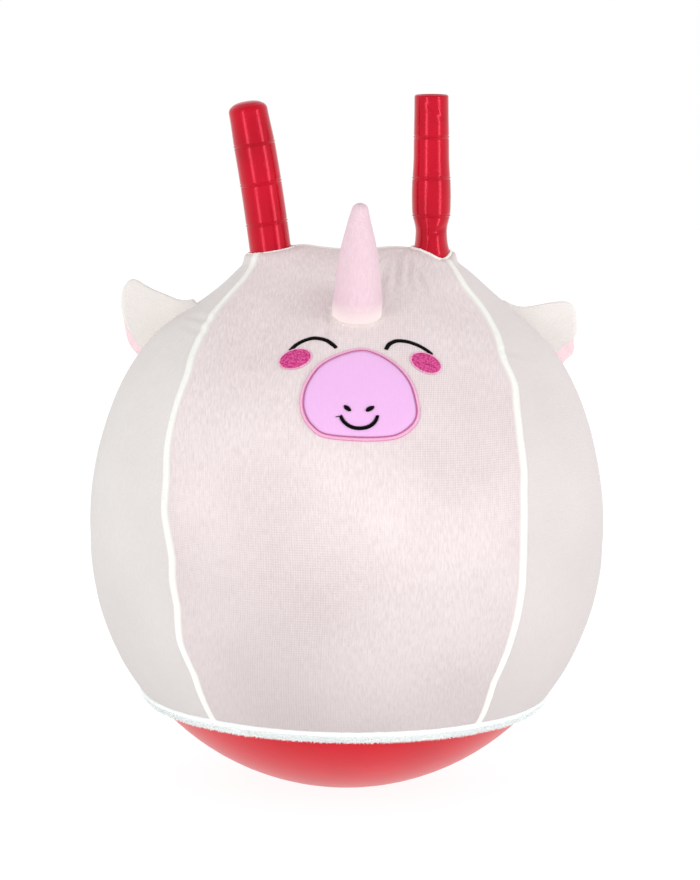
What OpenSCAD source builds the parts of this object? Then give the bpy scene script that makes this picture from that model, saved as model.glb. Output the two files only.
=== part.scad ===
// Hopper ball in a sewn plush cover. A hollow moulded ball with two flexible ribbed handles
// stands on the flat that its weight presses into it. The cover has four panels, welted seams,
// an elastic hem, an embroidered face, a stuffed horn and two lined ears.
// Millimetres. +Z is up, the face looks along -Y, +X is the viewer's right, and the origin is
// on the floor under the middle of the ball.

/* [Ball] */
// outer diameter of the blown-up ball
ball_d = 450; // [400:1:540]
// thickness of the ball's wall
ball_wall = 1.4; // [1:0.1:3]
// how far the upper half stands taller than a sphere
crown_rise = 14; // [8:0.5:18]
// how far the shoulders beside the handles swell out
shoulder_rise = 10.5; // [7:0.5:12]
// diameter of the rounding of each shoulder
shoulder_d = 264; // [240:1:280]
// diameter of the flat that rests on the floor
rest_d = 60; // [44:1:80]

/* [Handles] */
// distance between the two handle roots
handle_spread = 142.6; // [130:0.1:156]
// height of a handle root above the round of the ball under it
neck_rise = 42.6; // [40:0.1:46]
// outward lean of the left handle in degrees
left_lean = 10; // [2:0.5:12]
// outward lean of the right handle in degrees
right_lean = -1; // [-3:0.5:8]
// length of a handle from its root to its end
handle_l = 139; // [110:1:170]
// diameter of a handle at its root
handle_root_d = 37; // [34:0.5:39]
// largest diameter of a handle, a third of the way up
handle_belly_d = 38.6; // [35:0.1:41]
// diameter of a handle at its end
handle_tip_d = 32.4; // [26:0.1:35]
// rounding of the handle's end
handle_end_r = 7; // [3:0.5:9]
// thickness of the handle's wall
handle_wall = 2.2; // [1.5:0.1:3.5]
// distance from one grip bead to the next
bead_pitch = 36; // [26:1:40]
// height of the lowest grip bead above the root
bead_start = 30; // [20:1:36]
// radius of a grip bead's round
bead_r = 1.1; // [0.6:0.1:2]

/* [Cover] */
// thickness of the plush
cloth_t = 2.7; // [2:0.1:3.4]
// latitude of the panels' lower edge in degrees
hem_lat = -38; // [-46:0.5:-30]
// azimuth of the left seams at the hem in degrees
left_seam_az = 41; // [37:0.5:45]
// azimuth of the right seams at the hem in degrees
right_seam_az = 36.5; // [34:0.5:45]
// how late the left seams turn out to the shoulder
left_seam_bend = 3.4; // [3:0.1:5.5]
// how late the right seams turn out to the shoulder
right_seam_bend = 4.1; // [3:0.1:5.5]
// width of a seam welt
welt_w = 5.6; // [4:0.1:8]
// height of a seam welt over the panels
welt_rise = 1.1; // [0.5:0.1:2]
// height of the hem band
hem_h = 9; // [7:0.5:12]
// thickness of the hem band
hem_t = 6; // [5:0.1:8]
// width of the elastic in the hem
elastic_w = 5.6; // [3:0.1:6]
// thickness of the elastic in the hem
elastic_t = 1.8; // [1:0.1:2.4]
// wall of the bound edge round a handle
collar_t = 2.8; // [2:0.1:3.6]
// height of the bound edge round a handle
collar_h = 6; // [4:0.1:7]

/* [Face] */
// latitude of the muzzle's middle in degrees
face_lat = 40; // [34:0.5:44]
// width of the muzzle patch over its border
muzzle_w = 103; // [86:1:112]
// height of the muzzle patch over its border
muzzle_h = 91; // [80:1:100]
// width of the stitched border
border_w = 3.2; // [2.4:0.1:4.5]
// thickness of the muzzle's cloth
patch_t = 1.3; // [0.9:0.1:2]
// height of stitching over what it is sewn to
stitch_rise = 0.8; // [0.5:0.1:1.2]
// width of a nostril
nostril_w = 7.2; // [5:0.1:9]
// height of a nostril
nostril_h = 5; // [3:0.1:6.5]
// distance between the nostrils
nostril_spread = 19; // [14:0.5:26]
// width of the mouth line from end to end
mouth_w = 31; // [22:0.5:40]
// depth of the mouth's curve
mouth_dip = 10.5; // [6:0.5:14]
// width of the eye and mouth lines
line_w = 3; // [2:0.1:4]
// width of a closed eye from end to end
eye_w = 40; // [28:0.5:44]
// height of an eye's arch
eye_arch = 10; // [5:0.5:13]
// distance between the middles of the eyes
eye_spread = 82; // [74:0.5:90]
// width of a cheek
cheek_w = 29; // [20:0.5:32]
// height of a cheek
cheek_h = 22; // [15:0.5:25]
// distance between the middles of the cheeks
cheek_spread = 115; // [106:0.5:122]

/* [Horn] */
// latitude of the horn's foot in degrees
horn_lat = 61; // [58:0.5:63]
// length of the horn from the cover to its tip
horn_l = 100; // [80:1:125]
// diameter of the horn at its foot
horn_d = 45; // [36:0.5:48]
// forward lean of the horn in degrees
horn_lean = 12; // [8:0.5:20]
// height of the soft foot under the stuffed part
horn_foot_h = 14; // [13:0.5:18]
// thickness of the horn's plush
horn_cloth_t = 2; // [1.5:0.1:3]

/* [Ears] */
// length of an ear's sewn edge
ear_base = 66; // [56:1:76]
// height of an ear over its sewn edge
ear_h = 49; // [40:1:60]
// latitude of the middle of an ear's sewn edge in degrees
ear_lat = 48.5; // [46:0.5:51]
// how far behind the side an ear is sewn, in degrees
ear_back = 5; // [0:0.5:9]
// thickness of an ear's outer plush
ear_cloth_t = 3; // [2:0.1:4]
// thickness of an ear's lining
lining_t = 2.2; // [1.5:0.1:3]
// height of the soft sewn foot under an ear
ear_foot_h = 5.5; // [5:0.1:8]
// how far an ear's lower edge curls forward
ear_curl = 13; // [6:0.5:16]

/* [Valve] */
// latitude of the valve at the back in degrees
valve_lat = -58; // [-64:0.5:-54]
// outer diameter of the valve seat
seat_d = 18; // [15:0.5:24]
// depth of the valve seat
seat_h = 15; // [11:0.5:20]
// diameter of the valve plug's head
plug_head_d = 10.8; // [9:0.1:12.5]
// thickness of the valve plug's head
plug_head_t = 1.4; // [1:0.1:2.4]
// diameter of the valve plug's stem
plug_stem_d = 6; // [5:0.1:7]

/* [Hidden] */
$fn = 96;

left = -1;
right = 1;

// clearances
cover_gap = 1;
sew_gap = 0.2;
laid_gap = 0.1;
soft_gap = 0.3;
fit_gap = 0.1;
swing_gap = 0.3;
overrun = 20;

// ball
ball_r = ball_d / 2;
ball_z = sqrt(ball_r * ball_r - rest_d * rest_d / 4);
shoulder_lat = 46;
shoulder_slack = 1.2;
shoulder_reach = ball_r + crown_rise * sin(shoulder_lat) + shoulder_rise - shoulder_slack;

// handle roots
swing = 10;
root_x = handle_spread / 2;
root_z = sqrt(ball_r * ball_r - root_x * root_x) + neck_rise;
root_r = handle_root_d / 2;
belly_share = 0.34;
cup_r = root_r + swing_gap;
cup_wall = 2.4;
// the cup's rim stays under the straight part of the handle at the end of its swing
rim_drop = root_r * sin(swing) + 3 * swing_gap + cup_wall;
neck_wall = 2;
neck_l = 60;
neck_slope = 0.5;
neck_wall_share = 0.7;
neck_top_r = cup_r + neck_wall_share * cup_wall;
bead_count = 3;

// cover over the ball
cover_r0 = ball_r + cover_gap + cloth_t;
collar_bore_r = root_r / cos(swing) + collar_h / 2 * tan(swing) + swing_gap;
collar_out_r = collar_bore_r + collar_t;
collar_bell_deg = 14.3;
shoulder_bell_deg = 20;
rim_bell_deg = 2.6;
seat_reach_deg = 40;
seam_clock = 60;
welt_half = welt_w / 2;
seam_half = welt_half + sew_gap;

function unit(v) = v / norm(v);
function between(u, w) = acos(max(-1, min(1, unit(u) * unit(w))));
function heading(az, lat) = [sin(az) * cos(lat), -cos(az) * cos(lat), sin(lat)];
function azimuth(u) = atan2(u.x, -u.y);
function latitude(u) = asin(u.z / norm(u));
function bell(angle, width_deg) = exp(-pow(angle / width_deg, 2));
function lean(side) = side == left ? left_lean : right_lean;
function root_at(side) = [side * root_x, 0, root_z];
function root_axis(side) = [side * sin(lean(side)), 0, cos(lean(side))];
function root_out(side) = [side * cos(lean(side)), 0, -sin(lean(side))];

// the panels' edge round a handle stays clear of the collar, which leans with the handle
rim_tilt = max(between(root_at(left), root_axis(left)), between(root_at(right), root_axis(right)))
    + atan(collar_out_r / norm(root_at(right)));
hole_r = collar_out_r + 2 * sew_gap + cloth_t * sin(rim_tilt);
collar_rise = norm(root_at(right)) - cover_r0 - crown_rise * unit(root_at(right)).z;
rim_slack_deg = 0.2;
rim_angle = atan(hole_r / norm(root_at(right))) + rim_slack_deg;

// distance of the cover's outside from the ball's middle in the direction u
function smooth_r(u) = cover_r0 + crown_rise * max(0, u.z)
    + collar_rise * (bell(between(u, root_at(left)), collar_bell_deg)
        + bell(between(u, root_at(right)), collar_bell_deg))
    + shoulder_rise * (bell(between(u, heading(-90, shoulder_lat)), shoulder_bell_deg)
        + bell(between(u, heading(90, shoulder_lat)), shoulder_bell_deg));
function seat_r(u, side) = (root_at(side) * root_axis(side)) / (u * root_axis(side));
function seat_pull(u, side) =
    let (a = between(u, root_at(side)))
    a > seat_reach_deg ? 0 : a <= rim_angle ? 1 : bell(a - rim_angle, rim_bell_deg);
function pulled(r, u, side) =
    let (k = seat_pull(u, side))
    k == 0 ? r : r + k * (seat_r(u, side) - r);
function cover_r(u) = pulled(pulled(smooth_r(u), u, left), u, right);
function on_cover(v, lift) = let (u = unit(v)) u * (cover_r(u) + lift);

// point on the rim of a handle's hole, with the clock angle from outward over the front
function rim_at(side, clock, r) =
    root_at(side) + r * (cos(clock) * root_out(side) + sin(clock) * [0, -1, 0]);

// seams run from the hem to the rims, face is 1 in front and -1 behind
function seam_az(side) = side == left ? left_seam_az : right_seam_az;
function seam_bend(side) = side == left ? left_seam_bend : right_seam_bend;
function seam_at(side, face, t) =
    let (
        top = unit(rim_at(side, face * seam_clock, hole_r)),
        top_az = abs(azimuth([abs(top.x), -abs(top.y), top.z])),
        low_az = seam_az(side),
        az = low_az + (top_az - low_az) * pow(t, seam_bend(side)),
        lat = hem_lat + (latitude(top) - hem_lat) * t,
        u = heading(az, lat)
    )
    [side * u.x, face * u.y, u.z];
seam_step = 0.001;
// the seam moved sideways by w towards a growing azimuth, at its top along the rim
function seam_beside(side, face, t, w) = t == 1
    ? unit(rim_at(side, face * seam_clock - side * asin(w / hole_r), hole_r))
    : let (
        u = seam_at(side, face, t),
        along = unit(seam_at(side, face, min(1, t + seam_step))
            - seam_at(side, face, max(0, t - seam_step))),
        across = cross(along, u)
    )
    unit(u + across * w / cover_r(u));

// closed skin between an outer and an inner grid of points
// rows run up and columns to the right as seen from outside
module skin(outer, inner, wrap = false) {
    rows = len(outer);
    cols = len(outer[0]);
    n = rows * cols;
    spans = wrap ? cols : cols - 1;
    points = concat([for (row = outer) each row], [for (row = inner) each row]);
    function at(i, j) = i * cols + j % cols;
    faces = [
        for (i = [0 : rows - 2], j = [0 : spans - 1])
            let (a = at(i, j), b = at(i, j + 1), c = at(i + 1, j + 1), d = at(i + 1, j))
            each [[a, d, c], [a, c, b], [n + a, n + c, n + d], [n + a, n + b, n + c]],
        for (j = [0 : spans - 1])
            let (a = at(0, j), b = at(0, j + 1), c = at(rows - 1, j + 1), d = at(rows - 1, j))
            each [[a, b, n + b], [a, n + b, n + a], [c, d, n + d], [c, n + d, n + c]],
        if (!wrap)
            for (i = [0 : rows - 2])
                let (a = at(i, 0), d = at(i + 1, 0), b = at(i, cols - 1), c = at(i + 1, cols - 1))
                each [[d, a, n + a], [d, n + a, n + d], [b, c, n + c], [b, n + c, n + b]],
    ];
    polyhedron(points = points, faces = faces);
}

// directions over a patch with four given edges
function patch(bottom, top, start, end) =
    let (n = len(start) - 1, m = len(bottom) - 1)
    [for (i = [0 : n]) let (v = i / n)
        [for (j = [0 : m]) let (w = j / m)
            unit((1 - v) * bottom[j] + v * top[j] + (1 - w) * start[i] + w * end[i]
                - (1 - v) * ((1 - w) * bottom[0] + w * bottom[m])
                - v * ((1 - w) * top[0] + w * top[m]))]];

// evens out the inside of a patch
function relaxed(g, n) = n == 0 ? g :
    relaxed([for (i = [0 : len(g) - 1]) [for (j = [0 : len(g[0]) - 1])
        i == 0 || j == 0 || i == len(g) - 1 || j == len(g[0]) - 1 ? g[i][j]
            : unit(g[i - 1][j] + g[i + 1][j] + g[i][j - 1] + g[i][j + 1])]], n - 1);

function lifted(dirs, lift) = [for (row = dirs) [for (u = row) on_cover(u, lift)]];

module cloth(dirs, low, high) {
    skin(lifted(dirs, high), lifted(dirs, low));
}

module at_ball() {
    translate([0, 0, ball_z]) children();
}

// puts the Z axis of its children along a, from the point p
module aimed(p, a) {
    tilt = acos(a.z / norm(a));
    turn = atan2(a.y, a.x);
    translate(p) rotate([0, tilt, turn]) children();
}

panel_rows = 20;
wide_cols = 14;
side_cols = 16;
rim_cols = 5;
relax_steps = 20;

function hem_row(az0, az1, cols) =
    let (edge = asin(seam_half / (cover_r0 * cos(hem_lat))))
    [for (j = [0 : cols]) heading(az0 + edge + (az1 - az0 - 2 * edge) * j / cols, hem_lat)];
function rim_row(side, c0, c1, cols) =
    [for (j = [0 : cols]) unit(rim_at(side, c0 + (c1 - c0) * j / cols, hole_r))];
seam_clock_edge = asin(seam_half / hole_r);

// front is 1 and back is -1
function wide_dirs(face) =
    let (
        first = face == 1 ? left : right,
        last = -first,
        mid = face == 1 ? 0 : 180,
        c0 = face * (seam_clock + seam_clock_edge),
        c1 = face * (180 - seam_clock_edge),
        arc0 = rim_row(first, c0, c1, rim_cols),
        arc1 = rim_row(last, c1, c0, rim_cols),
        a = rim_at(first, c1, hole_r),
        b = rim_at(last, c1, hole_r),
        n = wide_cols - 2 * rim_cols,
        crown = [for (j = [1 : n - 1]) unit(a + (b - a) * j / n)],
        start = [for (i = [0 : panel_rows]) seam_beside(first, face, i / panel_rows, seam_half)],
        end = [for (i = [0 : panel_rows]) seam_beside(last, face, i / panel_rows, -seam_half)]
    )
    relaxed(patch(hem_row(mid - seam_az(first), mid + seam_az(last), wide_cols),
        concat(arc0, crown, arc1), start, end), relax_steps);

function side_dirs(side) =
    let (
        face = side == right ? 1 : -1,
        c = seam_clock - seam_clock_edge,
        mid = side * 90,
        half = 90 - seam_az(side),
        start = [for (i = [0 : panel_rows]) seam_beside(side, face, i / panel_rows, seam_half)],
        end = [for (i = [0 : panel_rows]) seam_beside(side, -face, i / panel_rows, -seam_half)]
    )
    patch(hem_row(mid - half, mid + half, side_cols),
        rim_row(side, face * c, -face * c, side_cols), start, end);

module welt(dirs) {
    top = [for (row = dirs) [
        on_cover(row[0], 0), on_cover(row[1], welt_rise),
        on_cover(row[2], welt_rise), on_cover(row[3], 0)]];
    skin(top, lifted(dirs, -cloth_t));
}

welt_shares = [-1, -0.5, 0.5, 1];

module side_welt(side, face) {
    welt([for (i = [0 : panel_rows])
        [for (k = welt_shares) seam_beside(side, face, i / panel_rows, k * welt_half)]]);
}

// ball, handles and valve

module round_profile(inset) {
    r = ball_r - inset;
    intersection() {
        union() {
            circle(r);
            translate([0, crown_rise]) circle(r);
        }
        translate([0, inset - ball_z]) square([ball_d, 2 * ball_d]);
    }
}

module ball_form(inset, neck_inset) {
    rotate_extrude() round_profile(inset);
    for (side = [left, right]) {
        translate((shoulder_reach - shoulder_d / 2) * heading(side * 90, shoulder_lat))
            sphere(shoulder_d / 2 - inset);
        aimed(root_at(side), root_axis(side))
            translate([0, 0, -neck_l - rim_drop])
                cylinder(h = neck_l + cup_wall - 2 * neck_inset,
                    r1 = neck_top_r + neck_l * neck_slope - neck_inset,
                    r2 = neck_top_r - (cup_wall - 2 * neck_inset) * neck_slope - neck_inset);
    }
}

module ball_shell() {
    color("#d8323f") at_ball() difference() {
        union() {
            difference() {
                ball_form(0, 0);
                ball_form(ball_wall, neck_wall);
            }
            for (side = [left, right]) {
                translate(root_at(side)) sphere(cup_r + cup_wall);
            }
        }
        for (side = [left, right]) {
            translate(root_at(side)) sphere(cup_r);
            aimed(root_at(side), root_axis(side))
                translate([0, 0, -rim_drop]) cylinder(h = 2 * overrun, r = cup_r + overrun);
        }
        aimed([0, 0, 0], valve_dir) cylinder(h = ball_d, r = seat_d / 2 + fit_gap);
    }
}

valve_dir = heading(180, valve_lat);
plug_bore_r = plug_stem_d / 2 + fit_gap;
plug_sink = plug_head_t + 4 * fit_gap;

module valve_seat() {
    color("#f2f2f0") at_ball() difference() {
        intersection() {
            sphere(ball_r);
            aimed([0, 0, 0], valve_dir)
                translate([0, 0, ball_r - seat_h]) cylinder(h = 2 * seat_h, d = seat_d);
        }
        aimed([0, 0, 0], valve_dir) {
            cylinder(h = ball_d, r = plug_bore_r);
            translate([0, 0, ball_r - plug_sink])
                cylinder(h = 2 * seat_h, r = plug_head_d / 2 + fit_gap);
        }
    }
}

module valve_plug() {
    color("#f7f7f5") at_ball() aimed([0, 0, 0], valve_dir) {
        translate([0, 0, ball_r - plug_sink + fit_gap]) cylinder(h = plug_head_t, d = plug_head_d);
        translate([0, 0, ball_r - seat_h]) cylinder(h = seat_h - plug_sink + 2 * fit_gap, d = plug_stem_d);
    }
}

function handle_r(z) = z < belly_share * handle_l
    ? root_r + (handle_belly_d / 2 - root_r) * z / (belly_share * handle_l)
    : handle_belly_d / 2 + (handle_tip_d - handle_belly_d) / 2
        * (z - belly_share * handle_l) / (handle_l - handle_end_r - belly_share * handle_l);

module handle_outline(inset) {
    top = handle_l - inset;
    edge = handle_end_r - inset / 2;
    tip_r = handle_tip_d / 2 - inset;
    polygon([
        [0, 0], [root_r - inset, 0],
        [handle_belly_d / 2 - inset, belly_share * handle_l],
        [tip_r, top - edge], [tip_r - edge, top], [0, top]
    ]);
    translate([tip_r - edge, top - edge]) circle(edge);
    intersection() {
        circle(root_r - inset);
        translate([0, -root_r]) square(root_r);
    }
}

module handle(side) {
    color("#cc1a2c") at_ball() aimed(root_at(side), root_axis(side)) rotate_extrude() {
        difference() {
            union() {
                handle_outline(0);
                for (i = [0 : bead_count - 1]) {
                    z = bead_start + i * bead_pitch;
                    translate([handle_r(z), z]) circle(bead_r);
                }
            }
            handle_outline(handle_wall);
        }
    }
}

module left_handle() {
    handle(left);
}

module right_handle() {
    handle(right);
}

// cover

module front_panel() {
    color("#f3e4e6") at_ball() cloth(wide_dirs(1), -cloth_t, 0);
}

module back_panel() {
    color("#f1e4e4") at_ball() cloth(wide_dirs(-1), -cloth_t, 0);
}

module left_panel() {
    color("#ece6e2") at_ball() cloth(side_dirs(left), -cloth_t, 0);
}

module right_panel() {
    color("#ede6e6") at_ball() cloth(side_dirs(right), -cloth_t, 0);
}

module front_left_seam() {
    color("#faf8f2") at_ball() side_welt(left, 1);
}

module front_right_seam() {
    color("#faf8f2") at_ball() side_welt(right, 1);
}

module back_left_seam() {
    color("#faf8f2") at_ball() side_welt(left, -1);
}

module back_right_seam() {
    color("#faf8f2") at_ball() side_welt(right, -1);
}

crown_steps = 10;

module crown_seam() {
    a = rim_at(left, 180, hole_r);
    b = rim_at(right, 180, hole_r);
    dirs = [for (k = welt_shares)
        [for (j = [0 : crown_steps]) unit(a + (b - a) * j / crown_steps + [0, k * welt_half, 0])]];
    top = [
        [for (u = dirs[0]) on_cover(u, 0)], [for (u = dirs[1]) on_cover(u, welt_rise)],
        [for (u = dirs[2]) on_cover(u, welt_rise)], [for (u = dirs[3]) on_cover(u, 0)]];
    color("#faf8f2") at_ball() skin(top, lifted(dirs, -cloth_t));
}

module collar(side) {
    color("#f6f1ee") at_ball() aimed(root_at(side), root_axis(side)) rotate_extrude() {
        translate([collar_bore_r, -collar_h / 2]) square([collar_t, collar_h - collar_t / 2]);
        translate([collar_bore_r + collar_t / 2, collar_h / 2 - collar_t / 2]) circle(collar_t / 2);
    }
}

module left_handle_collar() {
    collar(left);
}

module right_handle_collar() {
    collar(right);
}

hem_in_r = ball_r + cover_gap / 2;
hem_wall = (hem_t - elastic_t) / 2 - sew_gap;
hem_turn = asin((hem_h / 2 + sew_gap) / cover_r0);

module hem_place() {
    at_ball() rotate_extrude() rotate(hem_lat - hem_turn) children();
}

module hem_casing() {
    color("#fbfbfb") hem_place() difference() {
        translate([hem_in_r, -hem_h / 2]) square([hem_t, hem_h]);
        translate([hem_in_r + hem_wall, -elastic_w / 2 - sew_gap])
            square([elastic_t + 2 * sew_gap, elastic_w + 2 * sew_gap]);
    }
}

module hem_elastic() {
    color("#e9e9e9") hem_place()
        translate([hem_in_r + hem_wall + sew_gap, -elastic_w / 2]) square([elastic_t, elastic_w]);
}

// face, in widths and heights from the muzzle's middle

face_mid = heading(0, face_lat);
face_up = [0, sin(face_lat), cos(face_lat)];
function face_at(p, lift) = on_cover(face_mid * cover_r(face_mid) + [p.x, 0, 0] + p.y * face_up, lift);
function turned(p, a) = [p.x * cos(a) - p.y * sin(a), p.x * sin(a) + p.y * cos(a)];

module laid(grid, low, high) {
    skin([for (row = grid) [for (p = row) face_at(p, high)]],
        [for (row = grid) [for (p = row) face_at(p, low)]]);
}

// oval of width w and height h, in rows of equal steps round its edge
oval_rows = 8;
oval_cols = 8;
oval_end_deg = 84;
function oval(mid, w, h, a) =
    [for (i = [0 : oval_rows]) let (s = oval_end_deg * (2 * i / oval_rows - 1))
        [for (j = [0 : oval_cols])
            mid + turned([w / 2 * cos(s) * (2 * j / oval_cols - 1), h / 2 * sin(s)], a)]];

// line of width w along an arch that is wide across and rises by its arch in the middle
line_steps = 12;
line_end_share = 0.5;
function arch(mid, across, rise, w, a) =
    let (spine = [for (j = [0 : line_steps]) let (s = 2 * j / line_steps - 1)
        [across / 2 * s, rise * (1 - s * s)]])
    [for (k = [-1, 1])
        [for (j = [0 : line_steps])
            let (
                d = unit(spine[min(j + 1, line_steps)] - spine[max(j - 1, 0)]),
                t = w / 2 * (1 - line_end_share * pow(abs(2 * j / line_steps - 1), 6))
            )
            mid + turned(spine[j] + k * t * [-d.y, d.x], a)]];

// the muzzle is widest below its middle and narrows to a rounded top
muzzle_steps = 32;
muzzle_low_share = 0.095;
muzzle_square_share = 0.82;
muzzle_top_share = 0.98;
function muzzle_edge(a, inset) =
    let (
        top = sin(a) > 0,
        e = top ? muzzle_top_share : muzzle_square_share,
        c = sign(cos(a)) * pow(abs(cos(a)), e),
        s = sign(sin(a)) * pow(abs(sin(a)), e),
        low = muzzle_h * (0.5 - muzzle_low_share),
        high = muzzle_h * (0.5 + muzzle_low_share)
    )
    [c * (muzzle_w / 2 - inset), s * ((top ? high : low) - inset) - muzzle_low_share * muzzle_h];
muzzle_rows = 14;
muzzle_cols = 12;
muzzle_end_deg = 86;
border_out_share = 0.4;
border_in_share = 0.9;

module muzzle_patch() {
    inset = border_w + sew_gap;
    grid = [for (i = [0 : muzzle_rows])
        let (a = muzzle_end_deg * (2 * i / muzzle_rows - 1), e = muzzle_edge(a, inset))
        [for (j = [0 : muzzle_cols]) [e.x * (2 * j / muzzle_cols - 1), e.y]]];
    color("#f3c0ef") at_ball() laid(grid, laid_gap, laid_gap + patch_t);
}

module muzzle_border() {
    rows = [for (inset = [0, border_w / 2, border_w])
        [for (j = [0 : muzzle_steps - 1]) muzzle_edge(-90 + 360 * j / muzzle_steps, inset)]];
    high = [border_out_share * patch_t, patch_t + stitch_rise, border_in_share * patch_t];
    color("#e87fb0") at_ball() skin(
        [for (i = [0 : 2]) [for (p = rows[i]) face_at(p, laid_gap + high[i])]],
        [for (row = rows) [for (p = row) face_at(p, laid_gap)]], wrap = true);
}

on_patch = 2 * laid_gap + patch_t;
nose_y_share = -0.165;
nostril_turn = 35;

module nostril(side) {
    grid = oval([side * nostril_spread / 2, nose_y_share * muzzle_h], nostril_w, nostril_h,
        side * nostril_turn);
    color("#151214") at_ball() laid(grid, on_patch, on_patch + stitch_rise);
}

module left_nostril() {
    nostril(left);
}

module right_nostril() {
    nostril(right);
}

mouth_y_share = -0.25;

module mouth() {
    grid = arch([-1 * fit_gap, mouth_y_share * muzzle_h], mouth_w, -mouth_dip, line_w, 0);
    color("#151214") at_ball() laid(grid, on_patch, on_patch + stitch_rise);
}

eye_y_share = 0.56;
eye_turn = 2;

module eye(side) {
    grid = arch([side * eye_spread / 2, eye_y_share * muzzle_h], eye_w, eye_arch, line_w,
        -side * eye_turn);
    color("#151214") at_ball() laid(grid, laid_gap, laid_gap + stitch_rise);
}

module left_eye() {
    eye(left);
}

module right_eye() {
    eye(right);
}

cheek_y_share = 0.43;
cheek_turn = -2;

module cheek(side) {
    grid = oval([side * cheek_spread / 2, cheek_y_share * muzzle_h], cheek_w, cheek_h,
        side * cheek_turn);
    color("#d94b8b") at_ball() laid(grid, laid_gap, laid_gap + stitch_rise);
}

module left_cheek() {
    cheek(left);
}

module right_cheek() {
    cheek(right);
}

// horn

horn_at = on_cover(heading(0, horn_lat), 0);
horn_axis = [0, -sin(horn_lean), cos(horn_lean)];
horn_front = [0, -cos(horn_lean), -sin(horn_lean)];
horn_r = horn_d / 2;
horn_steps = 14;
horn_full = 2.2;
horn_blunt = 0.8;
function horn_r_at(t) = horn_r * pow(1 - pow(t, horn_full), horn_blunt);
foot_share = horn_foot_h / horn_l;

// half outline of the stuffed part from its flat foot to its tip
module horn_outline(inset) {
    polygon(concat(
        [[0, horn_foot_h]],
        [for (i = [0 : horn_steps])
            let (t = foot_share + (1 - foot_share) * sin(90 * i / horn_steps))
            [max(0, horn_r_at(t) - inset), (horn_l - inset) * t + inset * foot_share]]));
}

module horn_cover() {
    color("#f9d3e1") at_ball() aimed(horn_at, horn_axis) rotate_extrude() difference() {
        horn_outline(0);
        horn_outline(horn_cloth_t);
    }
}

module horn_stuffing() {
    color("#fbf7f5") at_ball() aimed(horn_at, horn_axis) rotate_extrude()
        horn_outline(horn_cloth_t + sew_gap);
}

foot_cols = 28;
foot_core_share = 0.12;

module horn_foot() {
    function ring(r, h) = [for (j = [0 : foot_cols - 1]) let (a = -360 * j / foot_cols)
        horn_at + r * (cos(a) * horn_front + sin(a) * [1, 0, 0]) + h * horn_axis];
    function landed(row) = [for (p = row) on_cover(p, laid_gap)];
    core = foot_core_share * horn_r;
    top = [ring(horn_r_at(foot_share), horn_foot_h - soft_gap), ring(core, horn_foot_h - soft_gap)];
    low = [landed(ring(horn_r, 0)), landed(ring(core, 0))];
    color("#f8dbe4") at_ball() skin(top, low, wrap = true);
}

// ears

ear_rows = 6;
ear_cols = 14;
ear_rim = 2.5;
ear_top_curl_share = 0.35;
ear_shares = [0, 0.16, 0.36, 0.60, 0.86, 1, 0.94, 0.83, 0.67, 0.46, 0];

function ear_mid(side) = heading(side * (90 + ear_back), ear_lat);
function ear_down(side) =
    unit(heading(side * (90 + ear_back), ear_lat - 1) - heading(side * (90 + ear_back), ear_lat + 1));
function ear_back_dir(side) = side * cross(ear_mid(side), ear_down(side));
function ear_foot_at(side) = let (u = ear_mid(side)) u * cover_r(u);
function ear_height(q) =
    let (n = len(ear_shares) - 1, k = min(n - 1, floor(q * n)), f = q * n - k)
    ear_rim + (ear_h - ear_rim) * (ear_shares[k] * (1 - f) + ear_shares[k + 1] * f);
// q runs down the sewn edge, s from that edge to the rim, depth is towards the back
function ear_at(side, q, s, depth) =
    let (
        h = ear_height(q),
        reach = s * h / ear_h,
        curl = ear_curl * reach * (ear_top_curl_share * (1 - q) - q * q)
    )
    ear_foot_at(side) + (q - 0.5) * ear_base * ear_down(side)
        + (ear_foot_h + s * h) * ear_mid(side) + (curl + depth) * ear_back_dir(side);

module ear_sheet(side, front, back) {
    function grid(depth) = [for (i = [0 : ear_rows])
        [for (j = [0 : ear_cols])
            let (q = side == left ? 1 - j / ear_cols : j / ear_cols)
            ear_at(side, q, i / ear_rows, depth)]];
    skin(grid(front), grid(back));
}

module ear_foot(side) {
    half = (ear_cloth_t + lining_t) / 2;
    function row(depth, h) = [for (j = [0 : ear_cols])
        let (q = side == left ? 1 - j / ear_cols : j / ear_cols)
        ear_at(side, q, 0, depth) + (h - ear_foot_h) * ear_mid(side)];
    function landed(r) = [for (p = r) on_cover(p, laid_gap)];
    front = [landed(row(-half, 0)), row(-half, ear_foot_h - soft_gap)];
    back = [landed(row(half, 0)), row(half, ear_foot_h - soft_gap)];
    color("#efe8e4") at_ball() skin(front, back);
}

module ear(side) {
    color("#f2ece8") at_ball()
        ear_sheet(side, -(ear_cloth_t + lining_t) / 2, (ear_cloth_t - lining_t) / 2);
}

module ear_lining(side) {
    color("#f0b3c8") at_ball()
        ear_sheet(side, (ear_cloth_t - lining_t) / 2 + fit_gap, (ear_cloth_t + lining_t) / 2);
}

module left_ear_foot() {
    ear_foot(left);
}

module left_ear() {
    ear(left);
}

module left_ear_lining() {
    ear_lining(left);
}

module right_ear_foot() {
    ear_foot(right);
}

module right_ear() {
    ear(right);
}

module right_ear_lining() {
    ear_lining(right);
}

ball_shell();
valve_seat();
valve_plug();
left_handle();
right_handle();
front_panel();
back_panel();
left_panel();
right_panel();
front_left_seam();
front_right_seam();
back_left_seam();
back_right_seam();
crown_seam();
hem_casing();
hem_elastic();
left_handle_collar();
right_handle_collar();
muzzle_patch();
muzzle_border();
left_nostril();
right_nostril();
mouth();
left_eye();
right_eye();
left_cheek();
right_cheek();
horn_foot();
horn_cover();
horn_stuffing();
left_ear_foot();
left_ear();
left_ear_lining();
right_ear_foot();
right_ear();
right_ear_lining();
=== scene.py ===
import math

import bpy
import numpy as np
from mathutils import Matrix, Vector, noise


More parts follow.
